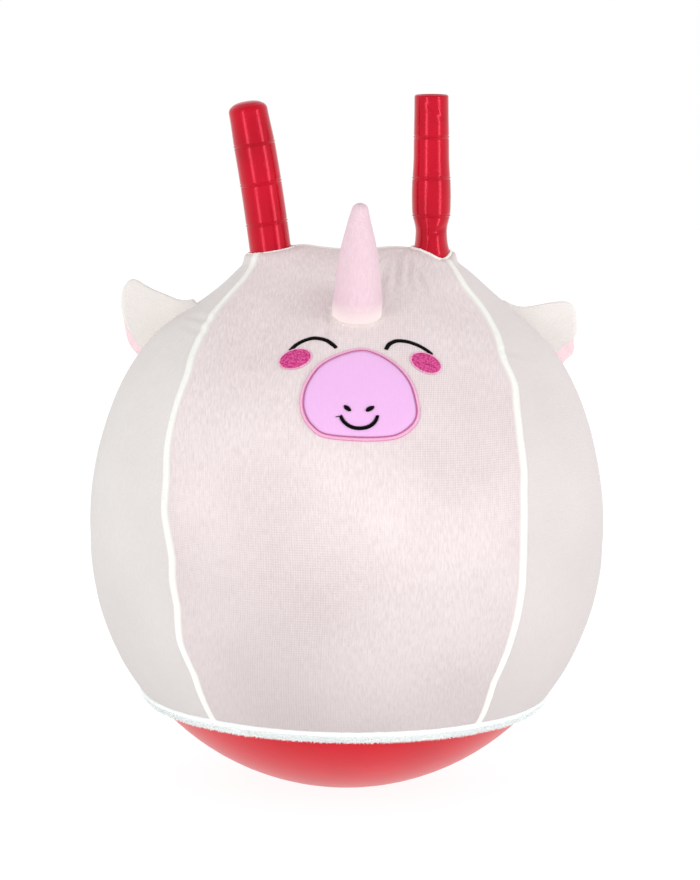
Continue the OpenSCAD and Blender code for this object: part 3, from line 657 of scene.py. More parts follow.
def growth(name, **numbers):
    """A geometry tree with these inputs, a seed and a material. Gives the tree and what it is given."""
    g = bpy.data.node_groups.new(name, "GeometryNodeTree")
    g.interface.new_socket("Geometry", in_out="INPUT", socket_type="NodeSocketGeometry")
    for label, value in {**numbers, "Seed": 1, "Material": None}.items():
        kind = {float: "Float", int: "Int"}.get(type(value), "Material")
        s = g.interface.new_socket(label, in_out="INPUT", socket_type="NodeSocket" + kind)
        if value is not None:
            s.default_value = value
    g.interface.new_socket("Geometry", in_out="OUTPUT", socket_type="NodeSocketGeometry")
    return g, add(g, "NodeGroupInput").outputs


def grow_on(g, given, points, instance, turn, size):
    """Put an instance on every point, and make the lot one plain, smooth mesh with its material."""
    put = {"Points": points, "Instance": instance, "Rotation": turn, "Scale": size}
    real = add(g, "GeometryNodeRealizeInstances", {"Geometry": add(g, "GeometryNodeInstanceOnPoints", put)})
    even = add(g, "GeometryNodeSetShadeSmooth", {"Geometry": real})
    painted = add(g, "GeometryNodeSetMaterial", {"Geometry": even, "Material": given["Material"]})
    add(g, "NodeGroupOutput", {"Geometry": painted})
    return g


def strayed(g, given, way, far):
    """A direction that strays from its way at random, by as much as far says."""
    spread = {"Seed": given["Seed"], "Min": (-1, -1, -1), "Max": (1, 1, 1)}
    chance = add(g, "FunctionNodeRandomValue", spread, data_type="FLOAT_VECTOR")
    stray = add(g, "ShaderNodeVectorMath", {0: chance, "Scale": far}, operation="SCALE")
    return add(g, "ShaderNodeVectorMath", {0: way, 1: stray}, operation="ADD")


def stitch_tree(name):
    """Satin stitches along a path: one thread across it at each step."""
    g, given = growth(name, Spacing=0.6 * MM, Thread=0.3 * MM, Slant=0.2, Jitter=0.06)
    path = add(g, "GeometryNodeMeshToCurve", {"Mesh": given["Geometry"]})
    steps = add(g, "GeometryNodeResampleCurve", {"Curve": path, "Length": given["Spacing"]}, mode="LENGTH")
    grain = add(g, "GeometryNodeMeshUVSphere", {"Segments": 6, "Rings": 5, "Radius": 1.0})
    across, upward = (
        add(g, "GeometryNodeInputNamedAttribute", {"Name": label}, data_type="FLOAT_VECTOR")
        for label in ("across", "upward"))
    half = add(g, "ShaderNodeVectorMath", {0: across}, operation="LENGTH")
    straight = add(g, "ShaderNodeVectorMath", {0: across}, operation="NORMALIZE")
    spread = {"Seed": given["Seed"], "Min": -1.0, "Max": 1.0}
    chance = add(g, "FunctionNodeRandomValue", spread, data_type="FLOAT")
    uneven = add(g, "ShaderNodeMath", {0: chance, 1: given["Jitter"], 2: 1.0}, operation="MULTIPLY_ADD")
    wide = add(g, "ShaderNodeMath", {0: half, 1: uneven}, operation="MULTIPLY")
    size = add(g, "ShaderNodeCombineXYZ", {"X": wide, "Y": given["Thread"], "Z": given["Thread"]})
    onwards = add(g, "GeometryNodeInputTangent")
    push = add(g, "ShaderNodeVectorMath", {0: onwards, "Scale": given["Slant"]}, operation="SCALE")
    way = add(g, "ShaderNodeVectorMath", {0: straight, 1: push}, operation="ADD")
    axes = {"Primary Axis": way, "Secondary Axis": upward}
    turn = add(g, "FunctionNodeAxesToRotation", axes, primary_axis="X", secondary_axis="Z")
    return grow_on(g, given, steps, grain, turn, size)


def tuft_tree(name):
    """Pile tufts on a surface: small tapered blades that lean at random."""
    g, given = growth(name, Density=6e5, Length=2 * MM, Thickness=0.3 * MM, Lean=0.5)
    where = {"Mesh": given["Geometry"], "Density": given["Density"], "Seed": given["Seed"]}
    points = add(g, "GeometryNodeDistributePointsOnFaces", where)
    shape = {"Vertices": 4, "Side Segments": 2, "Radius Top": 0.15, "Radius Bottom": 1.0, "Depth": 1.0}
    blade = add(g, "GeometryNodeMeshCone", shape)
    spread = {"Seed": given["Seed"], "Min": 0.55, "Max": 1.1}
    chance = add(g, "FunctionNodeRandomValue", spread, data_type="FLOAT")
    tall = add(g, "ShaderNodeMath", {0: chance, 1: given["Length"]}, operation="MULTIPLY")
    way = strayed(g, given, points.outputs["Normal"], given["Lean"])
    turn = add(g, "FunctionNodeAlignRotationToVector", {"Vector": way}, axis="Z")
    size = add(g, "ShaderNodeCombineXYZ", {"X": given["Thickness"], "Y": given["Thickness"], "Z": tall})
    return grow_on(g, given, points, blade, turn, size)


def fill_tree(name):
    """Thread fill over a surface: short strands that lie on it, nearly all one way."""
    g, given = growth(name, Density=3e6, Length=3.5 * MM, Thread=0.3 * MM, Spread=0.5)
    where = {"Mesh": given["Geometry"], "Density": given["Density"], "Seed": given["Seed"]}
    points = add(g, "GeometryNodeDistributePointsOnFaces", where)
    grain = add(g, "GeometryNodeMeshUVSphere", {"Segments": 5, "Rings": 5, "Radius": 1.0})
    half = add(g, "ShaderNodeMath", {0: given["Length"], 1: 0.5}, operation="MULTIPLY")
    size = add(g, "ShaderNodeCombineXYZ", {"X": half, "Y": given["Thread"], "Z": given["Thread"]})
    way = strayed(g, given, (0.8, 0.0, 0.6), given["Spread"])
    axes = {"Primary Axis": points.outputs["Normal"], "Secondary Axis": way}
    turn = add(g, "FunctionNodeAxesToRotation", axes, primary_axis="Z", secondary_axis="X")
    return grow_on(g, given, points, grain, turn, size)


TREES = {"Satin stitches": stitch_tree, "Pile tufts": tuft_tree, "Thread fill": fill_tree}


def grown(name, base, tree, finish, **values):
    """The plain mesh that a geometry tree makes from base, which goes."""
    mod = base.modifiers.new("grow", "NODES")
    mod.node_group = bpy.data.node_groups.get(tree) or TREES[tree](tree)
    for s in mod.node_group.interface.items_tree:
        if s.item_type == "SOCKET" and s.in_out == "INPUT" and s.name != "Geometry":
            mod[s.identifier] = paint(finish) if s.name == "Material" else values[s.name]
    mesh = bpy.data.meshes.new_from_object(base.evaluated_get(bpy.context.evaluated_depsgraph_get()))
    base.modifiers.remove(mod)
    mesh.name = name
    bpy.data.objects.remove(base)
    return linked(name, mesh)


def path_piece(name, points, across, upward, closed):
    """A wire along points that carries each point's half width and its upward direction."""
    mesh = bpy.data.meshes.new(name)
    n = len(points)
    edges = [[k, k + 1] for k in range(n - 1)] + ([[n - 1, 0]] if closed else [])
    mesh.from_pydata(np.asarray(points).tolist(), edges, [])
    for label, value in (("across", across), ("upward", upward)):
        layer = mesh.attributes.new(label, "FLOAT_VECTOR", "POINT")
        layer.data.foreach_set("vector", np.asarray(value, np.float32).ravel())
    return linked(name, mesh)


def place(o, body, slot, *nodes):
    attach(o, body)
    if nodes:
        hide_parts(*nodes)


def paint_node(node, finish):
    """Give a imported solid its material."""
    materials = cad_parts[node].data.materials
    materials.clear()
    materials.append(paint(finish))


# Settings


def length(label, text, value, low, high):
    return bpy.props.FloatProperty(
        name=label, description=text, default=value, min=low, max=high, unit="LENGTH", precision=5)


class HopperBallSettings(bpy.types.PropertyGroup):
    grip_bead: length("Bead", "Height of a grip bead over the grip", 0.5 * MM, 0.0, 0.003)
    grip_dent: length("Dent", "Depth of the dent in the right grip above the cover", 1.6 * MM, 0.0, 0.004)


class HopperCoverSettings(bpy.types.PropertyGroup):
    seam_dip: length("Seam dip", "How far the panels sink beside a seam", 0.35 * MM, 0.0, 0.002)
    welt_rise: length("Welt", "Height of the seam welts over the panels", 1.1 * MM, 0.0, 0.003)
    pile: length("Pile", "Length of the pile tufts on seams and hem", 1.6 * MM, 0.0005, 0.004)


class HopperFaceSettings(bpy.types.PropertyGroup):
    thread: length("Thread", "Radius of an embroidery thread", 0.32 * MM, 0.0001, 0.001)
    spacing: length("Stitch spacing", "Distance from one satin stitch to the next", 0.55 * MM, 0.0003, 0.002)


class HopperHornSettings(bpy.types.PropertyGroup):
    lean: length("Tip lean", "How far the horn's tip bends towards +X", 0.0, -0.02, 0.02)


class HopperStageSettings(bpy.types.PropertyGroup):
    ambient: bpy.props.FloatProperty(
        name="Ambient", description="Strength of the even white surround", default=1.0, min=0.0, max=3.0)


# Ball and grips


class HOPPER_OT_vinyl(bpy.types.Operator):
    """Give the ball, its valve and its plug their moulded vinyl"""

    bl_idname = "hopper.vinyl"
    bl_label = "Vinyl ball and valve"

    def execute(self, context):
        paint_node("ball_shell", "Vinyl ball")
        paint_node("valve_seat", "Valve PVC")
        paint_node("valve_plug", "Plug polythene")
        return {"FINISHED"}


# each grip's length, its beads' heights, and its half widths across and in depth by height, in millimetres
LEFT_WIDE = [(0, 18.4), (95, 18.2), (109, 17.6), (119, 17.2)]
RIGHT_WIDE = [
    (0, 16.6), (4, 15.4), (9, 14.4), (14, 14.0), (19, 13.8), (23, 14.2), (27, 15.2), (32, 16.6), (38, 17.1),
    (50, 17.3), (62, 17.0), (72, 16.2), (82, 15.7), (103, 15.5), (120, 15.2), (139, 15.0)]
RIGHT_DEEP = [
    (0, 18.3), (10, 18.0), (20, 17.6), (32, 17.2), (50, 17.3), (62, 17.0), (72, 16.3), (82, 15.8),
    (103, 15.6), (120, 15.3), (139, 15.0)]
GRIPS = {
    LEFT: (133, (24.4, 60.0, 95.0), LEFT_WIDE),
    RIGHT: (139, (32.5, 66.0, 101.8), RIGHT_DEEP),
}
GRIP_SIDES = 96
# the left end's dome, with its fold line; the right end's rounded rim and the flat disc inside it
DOME_H, DOME_POWER, FOLD_AT = 9.5, 0.85, 6.5
RIM_H, DISC_R, DISC_DROP = 2.0, 13, 2.4
# a bead's half width, and the groove to both sides of it: its depth, and its place in half widths
BEAD_HALF, GROOVE, GROOVE_AT = 0.5, 0.35, 2.2


def eased(table, h):
    """A table of pairs, smoothed over about 6 mm, at the heights h."""
    fine = np.linspace(-10, 150, 641)
    return np.interp(h, fine, softened(np.interp(fine, *zip(*table)), 12))


def grip_profile(side, bead):
    """Radii and heights of a grip from its foot to its end."""
    long, beads, widths = GRIPS[side]
    a = np.linspace(0, np.pi / 2, 26)[1:-1]
    if side == LEFT:
        stop = long - DOME_H
        end_h = DOME_H * np.sin(a) ** DOME_POWER
        end_r = eased(widths, stop) * np.cos(a) ** DOME_POWER - 0.3 * bell(end_h - FOLD_AT, 0.8)
    else:
        stop = long - RIM_H
        s = np.linspace(0, 1, 12)[1:-1]
        end_h = np.concatenate([RIM_H * np.sin(a), RIM_H - DISC_DROP * np.minimum(1, s / 0.35) ** 0.8])
        end_r = np.concatenate([DISC_R + RIM_H * np.cos(a), DISC_R * (1 - s)])
    h = np.concatenate([np.linspace(-0.6 * ROOT_R / MM, 0, 8)[:-1], np.linspace(0, stop, 440)])
    r = eased(widths, np.maximum(h, 0)) * np.sqrt(1 - (np.minimum(h, 0) * MM / ROOT_R) ** 2)
    for at in beads:
        x = (h - at) / BEAD_HALF
        r = r + bead / MM * bell(x) - GROOVE * bell(abs(x) - GROOVE_AT)
    return np.concatenate([r, end_r]) * MM, np.concatenate([h, stop + end_h]) * MM


class HOPPER_OT_grips(bpy.types.Operator):
    """Mould the two ribbed grips"""

    bl_idname = "hopper.grips"
    bl_label = "Grips"

    def execute(self, context):
        s = context.scene.hopper_ball

        def bowed(x, y, z):
            return x + 1.2 * MM * np.sin(np.pi * np.clip(z / GRIP_L, 0, 1)), y

        def squeezed(x, y, z):
            # flat just above the cover, with a dent, and a slanting crease near the end
            h = np.clip(z / MM, 0, None)
            x = x * eased(RIGHT_WIDE, h) / eased(RIGHT_DEEP, h)
            a = np.arctan2(y, x)
            dent = bell(z - (16 + 6 * np.sin(a + 1.9)) * MM, 3.0 * MM) * bell(a + 1.15, 0.5)
            fold = bell(z - (126 - 14 * (a + 1.5)) * MM, 2.6 * MM) * bell(a + 1.45, 0.6)
            k = 1 - (s.grip_dent * dent + 0.4 * MM * fold) / ROOT_R
            return x * k, y * k

        a = np.linspace(0, 2 * np.pi, GRIP_SIDES, endpoint=False)
        for side, shape in ((LEFT, bowed), (RIGHT, squeezed)):
            radii, heights = grip_profile(side, s.grip_bead)
            r, z = radii[:, None], heights[:, None] + 0 * a
            x, y = shape(r * np.cos(a), r * np.sin(a), z)
            axis = root_axis(side)
            out = unit(np.cross([0.0, 1.0, 0.0], axis))
            base = root_at(side) + MIDDLE
            ring = base + x[..., None] * out + y[..., None] * np.cross(axis, out) + z[..., None] * axis
            uv = np.stack([a * np.mean(radii) + 0 * r, z], -1)
            node = NAMES[side] + "_handle"
            place(capped(NAMES[side] + "_grip", ring, uv, "Vinyl grip"), node, "handle_vinyl", node)
        return {"FINISHED"}


# Cover


def side_dip(grid, depth):
    """How far a panel sinks towards its seams."""
    left, right = (np.linalg.norm(grid - grid[:, k], axis=-1) for k in (slice(0, 1), slice(-1, None)))
    return -depth * (bell(left, 4 * MM) + bell(right, 4 * MM))


PANELS = {
    "front_panel": (wide_directions, FRONT, 150, 150, "Velboa cream", "plush_cream"),
    "back_panel": (wide_directions, BACK, 150, 150, "Velboa cream", "plush_cream"),
    "left_panel": (side_directions, LEFT, 150, 132, "Velboa left side", "plush_side"),
    "right_panel": (side_directions, RIGHT, 150, 132, "Velboa right side", "plush_side"),
}


class HOPPER_OT_panels(bpy.types.Operator):
    """Stretch the four plush panels over the ball"""

    bl_idname = "hopper.panels"
    bl_label = "Cover panels"

    def execute(self, context):
        s = context.scene.hopper_cover
        for node, (shape, which, rows, cols, finish, slot) in PANELS.items():
            dirs = shape(which, rows, cols)
            flat = on_cover(dirs)
            lift = relief(dirs) + side_dip(flat, s.seam_dip)
            inner = on_cover(dirs, np.maximum(lift, -0.5 * MM) - CLOTH)
            o = skin(node.replace("panel", "cloth"), on_cover(dirs, lift), inner, finish)
            place(o, "root", slot, node)
        return {"FINISHED"}


SEAMS = {
    "front_left_seam": (LEFT, FRONT), "front_right_seam": (RIGHT, FRONT),
    "back_left_seam": (LEFT, BACK), "back_right_seam": (RIGHT, BACK),
}
# points across a welt in half widths, and where its cloth turns down; its pile stands on the middle ones
WELT_ACROSS = np.array([-1.5, -1.25, -0.95, -0.6, -0.3, 0, 0.3, 0.6, 0.95, 1.25, 1.5])
WELT_EDGE = 1.4


class HOPPER_OT_seams(bpy.types.Operator):
    """Sew the welted seams between the panels"""

    bl_idname = "hopper.seams"
    bl_label = "Seams"

    def execute(self, context):
        t = np.linspace(0, 1, 260)
        # a quarter wider near the grips, where the cloth is less stretched, and narrower towards the hem
        grip_end = np.clip((t - 0.7) / 0.15, 0, 1) * np.clip((1 - t) / 0.08, 0, 1)
        wide = (0.25 * grip_end - 0.3 * np.clip(1 - t / 0.45, 0, 1))[:, None, None]
        for node, (side, face) in SEAMS.items():
            dirs = np.stack([beside_seam(side, face, t, k * WELT_HALF) for k in WELT_ACROSS], 1)
            self.welt(node, unit(dirs + wide * (dirs - dirs[:, 5:6])), context)
        a, b = rim_point(LEFT, 180.0), rim_point(RIGHT, 180.0)
        line = a + (b - a) * np.linspace(0, 1, 60)[:, None]
        crown = np.stack([unit(line + np.array([0, k * WELT_HALF, 0])) for k in WELT_ACROSS], 1)
        self.welt("crown_seam", crown, context)
        return {"FINISHED"}

    def welt(self, node, dirs, context):
        """A welt from its rows of directions, rounded across and slightly uneven, with its pile."""
        s = context.scene.hopper_cover
        lump = 1 + 0.25 * wavy(on_cover(dirs), 0.016, 5)
        arch = np.cos(np.clip(WELT_ACROSS / WELT_EDGE, -1, 1) * np.pi / 2) ** 1.1
        high = s.welt_rise * arch * lump - 0.5 * MM * (abs(WELT_ACROSS) > WELT_EDGE)
        outer = on_cover(dirs, high + relief(dirs))
        o = skin(node.replace("seam", "welt"), outer, on_cover(dirs, -CLOTH), "Welt pile")
        middle = outer[:, 3:-3]
        bed = skin(node + "_bed", middle, middle - 0.3 * MM * unit(middle - MIDDLE))
        pile = grown(node.replace("seam", "pile"), bed, "Pile tufts", "Pile white", Density=0.35e6,
                     Length=0.55 * s.pile, Thickness=0.22 * MM, Lean=1.3, Seed=3)
        place(o, "root", "welt_cloth", node)
        place(pile, "root", "welt_cloth")


def rounded(x, power, half):
    """A share from -1 to 1 on a round section, squared up by its power, in metres."""
    return np.sign(x) * abs(x) ** power * half


# the hem's line: its drop below the panels' edge and its distance from the ball
HEM_DROP, HEM_OUT = 4.7 * MM, 3.1 * MM
# the hem band: its half height, how far its middle sits above that line, and its half thickness
HEM_HALF, HEM_UP, HEM_THICK = 6.4 * MM, 2.6 * MM, 2.3 * MM
HEM_COLS, HEM_ROWS = 720, 24
# its upper edge is a raised ridge: its height, and its place and half width round the band's section
HEM_RIDGE, HEM_RIDGE_AT, HEM_RIDGE_HALF = 0.8 * MM, 0.95, 0.35
# between these angles round the section no pile stands, so that it is thickest on the lower edge
BARE_FROM, BARE_TO = 0.2, 2.9


class HOPPER_OT_hem(bpy.types.Operator):
    """Turn the hem band over its elastic"""

    bl_idname = "hopper.hem"
    bl_label = "Hem"

    def execute(self, context):
        az = np.linspace(-180, 180, HEM_COLS, endpoint=False)
        a = np.linspace(0, 2 * np.pi, HEM_ROWS + 1)[:-1]
        lat = HEM_LAT - math.degrees(math.asin(HEM_DROP / COVER_R))
        u = heading(az, lat)
        down = unit(heading(az, lat - 1) - heading(az, lat + 1))
        p = u * (BALL_R + HEM_OUT)
        gather = waves(p, (1, 0.011, 8), (0.5, 0.005, 9))
        tall = HEM_HALF + 0.4 * MM * wavy(p, 0.008, 10)
        rows = []
        for k in a:
            c, d = math.cos(k), math.sin(k)
            ridge = HEM_RIDGE * bell(k - HEM_RIDGE_AT, HEM_RIDGE_HALF)
            out = rounded(c, 0.4, HEM_THICK + 0.3 * MM * gather * (c > 0)) + ridge
            rows.append(p + u * out[:, None] - down * (rounded(d, 0.5, tall) + HEM_UP)[:, None])
        uv = np.radians(az)[None] * 0.18, a[:, None] * 4 * MM
        o, points, faces = band("hem_band", rows, uv, "Hem pile", (0, 1, 2, 3))
        lower = [f for k, f in enumerate(faces) if not BARE_FROM <= a[k // HEM_COLS] <= BARE_TO]
        long = context.scene.hopper_cover.pile * 1.2
        pile = grown("hem_pile", piece("hem_bed", points, lower), "Pile tufts", "Hem pile", Density=0.8e6,
                     Length=long, Thickness=0.3 * MM, Lean=0.6, Seed=11)
        place(o, "root", "hem_cloth", "hem_casing")
        place(pile, "root", "hem_cloth")
        paint_node("hem_elastic", "Elastic braid")
        return {"FINISHED"}


# a collar's outside round its grip, and how far its middle sits under the cover's rim
COLLAR_OUT, COLLAR_DOWN = HOLE_R + 0.6 * MM, 0.6 * MM
COLLAR_COLS, COLLAR_ROWS = 160, 14


class HOPPER_OT_collars(bpy.types.Operator):
    """Bind the edges of the cover round the grips"""

    bl_idname = "hopper.collars"
    bl_label = "Collars"

    def execute(self, context):
        s = context.scene.hopper_cover
        clock = np.linspace(0, 360, COLLAR_COLS, endpoint=False)
        for side, name in NAMES.items():
            axis, out = root_axis(side), clock_out(side, clock)
            mid = rim_radius(side, clock) - HOLE_R + (COLLAR_R + COLLAR_OUT) / 2
            p = root_at(side) + out * mid[:, None]
            lump = wavy(p, 0.009, 12 + side)
            rows = []
            for k in np.linspace(0, 2 * np.pi, COLLAR_ROWS + 1)[:-1]:
                wide = (COLLAR_OUT - COLLAR_R) / 2 * math.cos(k) * (1 + 0.05 * lump)
                high = math.sin(k) * COLLAR_TALL[side] * (1 + 0.1 * lump) - COLLAR_DOWN
                rows.append(p + out * wide[:, None] + axis * (high + collar_lift(side, clock))[:, None])
            uv = np.radians(clock)[None] * HOLE_R, np.arange(COLLAR_ROWS)[:, None] * 1.2 * MM
            order = (0, 3, 2, 1) if side == RIGHT else (1, 2, 3, 0)
            o, points, faces = band(name + "_collar_edge", rows, uv, "Pile white", order)
            bed = piece(name + "_collar_bed", points, faces)
            pile = grown(name + "_collar_pile", bed, "Pile tufts", "Pile white", Density=0.4e6,
                         Length=s.pile * 0.5, Thickness=0.22 * MM, Lean=1.2, Seed=21 + side)
            for part in (o, pile):
                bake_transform(part)
            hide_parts(name + "_handle_collar")
        return {"FINISHED"}


# Face

# the middle of the snout, and what points up the face there
FACE_LAT = 40.0
FACE_MID = heading(0, FACE_LAT)
FACE_UP = np.array([0, math.sin(math.radians(FACE_LAT)), math.cos(math.radians(FACE_LAT))])
FACE_R = float(cover_radius(FACE_MID))

# outline of the snout patch, clockwise from its top, in millimetres
SNOUT = [
    (1.8, 46.9), (18.5, 42.1), (33.7, 30.6), (44.7, 15.4), (49.9, -1.4), (51.2, -18.1), (44.7, -31.1),
    (28.9, -41.7), (0.5, -44.3), (-30.4, -40.8), (-43.5, -30.9), (-50, -18.2), (-51.3, -4.6), (-47.2, 11.8),
    (-36, 29.4), (-19.5, 40.3)]
# rings of the patch from its outline to its middle, as shares of the outline, with their heights
SNOUT_RINGS = 1, 0.985, 0.96, 0.9, 0.8, 0.68, 0.55, 0.42, 0.3, 0.2, 0.1, 0.04
SNOUT_LIFTS = 0.3, 0.9, 1.3, 1.55, 1.6, 1.6, 1.6, 1.6, 1.6, 1.6, 1.6, 1.6
SNOUT_MID = np.array([1.2, -2.0])
# lines of black thread: their points, and how high the cloth under them stands, in millimetres
LINES = {
    "left_eye": (
        [(-60.2, 51.0), (-54, 57.2), (-45.9, 61.4), (-36.9, 62.1), (-28, 58.2), (-21.8, 52.1),
         (-19.2, 48.4)], 0.0),
    "right_eye": (
        [(23.4, 47.8), (26.6, 54.2), (31.3, 58.2), (35.9, 60.0), (44.1, 60.3), (53.2, 58.0), (60.5, 54.2),
         (66.2, 49.8)], 0.0),
    "mouth": (
        [(-16.9, -21.9), (-14, -27.4), (-8.1, -32.0), (-0.5, -33.3), (7.2, -31.3), (12.2, -26.5),
         (14.1, -21.4)], 1.6),
    "left_nostril": ([(-13.7, -12.7), (-10.9, -15.0), (-8.1, -17.1)], 1.6),
    "right_nostril": ([(4.7, -17.4), (7.9, -15.1), (11, -12.8)], 1.6),
}
LOOSE_END = [(-20.6, -22.8), (-18.6, -22.2), (-16.6, -22.3)]
LINE_HALF = {"left_eye": 2.1, "right_eye": 2.1, "mouth": 2.15}
NOSTRIL_HALF = 2.7
# cheeks: middle, half width and half height in millimetres, and turn in degrees
CHEEKS = {"left_cheek": ((-55.5, 40.2), 14.3, 10.6, 6.0), "right_cheek": ((59.4, 38.2), 14.0, 11.0, -10.0)}
CHEEK_RINGS = 1, 0.93, 0.8, 0.6, 0.4, 0.2, 0.05
CHEEK_LIFTS = 0.3, 0.75, 0.95, 1, 1, 1, 1


def face_directions(p):
    """Directions of points given in millimetres across and up from the middle of the snout."""
    p = np.asarray(p, float) * MM
    return unit(FACE_MID * FACE_R + p[..., :1] * np.array([1.0, 0, 0]) + p[..., 1:] * FACE_UP)


def on_face(p, lift):
    u = face_directions(p)
    return on_cover(u, relief(u) + lift)


def curve(points, n, closed=False):
    """n points evenly along the smooth curve through these points."""
    p = np.array(points, float)
    if closed:
        t = np.linspace(0, len(p), 2000, endpoint=False)
    else:
        t = np.linspace(0, len(p) - 1 - 1e-9, 1200) + 1
        p = np.concatenate([[2 * p[0] - p[1]], p, [2 * p[-1] - p[-2]]])
    i = t.astype(int)
    f = (t - i)[:, None]
    a, b, c, d = (p[(i + k) % len(p)] for k in (-1, 0, 1, 2))
    q = 0.5 * (2 * b + (c - a) * f + (2 * a - 5 * b + 4 * c - d) * f**2 + (3 * b - a - 3 * c + d) * f**3)
    return resampled(np.concatenate([q, q[:1]]) if closed else q, np.linspace(0, 1, n, endpoint=not closed))


def along(p, closed):
    return np.roll(p, -1, 0) - np.roll(p, 1, 0) if closed else np.gradient(p, axis=0)


def inset(outline, by):
    """A closed outline moved inwards by that many millimetres."""
    d = unit(along(outline, True))
    return outline + np.stack([d[:, 1], -d[:, 0]], -1) * by


def stitched(name, line, half, lift, finish, closed=False, slant=0.15, seed=1, thread_r=None, spacing=None):
    """Satin stitches along a line on the face, each half wide to both sides."""
    s = bpy.context.scene.hopper_face
    p, up = on_face(line, lift * MM), face_directions(line)
    across = unit(np.cross(along(p, closed), up)) * (np.broadcast_to(half, len(line)) * MM)[:, None]
    return grown(name, path_piece(name + "_path", p, across, up, closed), "Satin stitches", finish,
                 Spacing=spacing or s.spacing, Thread=thread_r or s.thread, Slant=slant, Jitter=0.05,
                 Seed=seed)


PAD_ACROSS = np.array([1.0, 0.75, 0.35, 0.0, -0.35, -0.75, -1.0])


def padded_line(name, line, half, high, finish, closed=False):
    """A low rounded strip along a line on the face, under its stitches."""
    d = unit(along(line, closed))
    side = np.stack([-d[:, 1], d[:, 0]], -1)
    rows = [line + side * (np.broadcast_to(half, len(line)) * k)[:, None] for k in PAD_ACROSS]
    lifts = [high * MM * math.sqrt(max(0.04, 1 - k * k)) for k in PAD_ACROSS]
    top = np.array([on_face(r, h) for r, h in zip(rows, lifts)])
    low = np.array([on_face(r, -0.6 * MM) for r in rows])
    return skin(name, top[::-1], low[::-1], finish, closed)


def face_pad(name, rings, lifts, under, finish, uv=None):
    """A closed pad on the face, in rings from its outline inwards. Gives the piece, and its top's points
    and faces."""
    top = np.array([on_face(r, h * MM) for r, h in zip(rings, lifts)])
    low = np.array([on_face(r, -under * MM) for r in rings])
    rows, cols = top.shape[:2]
    total, last = rows * cols, (rows - 1) * cols
    faces = []
    for i in range(rows - 1):
        for j in range(cols):
            a, b = i * cols + j, i * cols + (j + 1) % cols
            c, d = b + cols, a + cols
            faces += [[a, b, c, d], [total + d, total + c, total + b, total + a]]
    upper = faces[::2]
    faces += [[j, total + j, total + (j + 1) % cols, (j + 1) % cols] for j in range(cols)]
    faces += [[last + j for j in range(cols)], [total + last + j for j in reversed(range(cols))]]
    top, low = top.reshape(-1, 3), low.reshape(-1, 3)
    return piece(name, np.concatenate([top, low]), faces, uv, finish), top, upper


class HOPPER_OT_snout(bpy.types.Operator):
    """Sew the snout patch and its satin border"""

    bl_idname = "hopper.snout"
    bl_label = "Snout"

    def execute(self, context):
        outline = curve(SNOUT, 320, True)
        edge = inset(outline, 2.6)
        rings = [edge * k + SNOUT_MID * (1 - k) for k in SNOUT_RINGS]
        uv = np.concatenate([np.array(rings).reshape(-1, 2)] * 2) * MM
        o, _, _ = face_pad("snout_patch", rings, SNOUT_LIFTS, 0.3, "Snout plush", uv)
        place(o, "root", "patch_pink", "muzzle_patch")
        border = padded_line("snout_border_pad", inset(outline, 1.6), 1.9, 1.5, "Thread pale pink", True)
        place(border, "root", "border_thread", "muzzle_border")
        # name, inset, half width, height, thread, slant, seed, thread radius and spacing
        for name, by, half, lift, finish, slant, seed, *fine in (
            ("stitches", 1.4, 1.6, 1.4, "Thread pale pink", 0.25, 2),
            ("line", 3.1, 0.75, 1.8, "Thread rose", 0.9, 3),
            ("rim", 0.0, 0.5, 0.7, "Thread outline", 1.0, 4, 0.3 * MM, 0.8 * MM),
        ):
            name, line = "snout_border_" + name, inset(outline, by)
            satin = stitched(name, line, half, lift, finish, True, slant, seed, *fine)
            place(satin, "root", "border_thread")
        return {"FINISHED"}


class HOPPER_OT_lines(bpy.types.Operator):
    """Embroider the closed eyes, the nostrils and the mouth"""

    bl_idname = "hopper.lines"
    bl_label = "Eyes, nostrils and mouth"

    def execute(self, context):
        for node, (points, lift) in LINES.items():
            n = 60 if node in LINE_HALF else 16
            line = curve(points, n)
            s = np.linspace(-1, 1, n)
            if node in LINE_HALF:
                half = LINE_HALF[node] * (1 - 0.2 * abs(s) ** 10)
            else:
                half = NOSTRIL_HALF * np.sqrt(np.maximum(0.08, 1 - s**2))
            pad = padded_line(node + "_pad", line, half * 0.92, lift + 0.9, "Thread black")
            place(pad, "root", "black_thread", node)
            top = stitched(node + "_stitches", line, half, lift + 0.75, "Thread black", slant=0.35, seed=5)
            place(top, "root", "black_thread")
        end = stitched("mouth_loose_end", curve(LOOSE_END, 12), 0.5, 2.2, "Thread black", seed=7)
        place(end, "root", "black_thread")
        return {"FINISHED"}


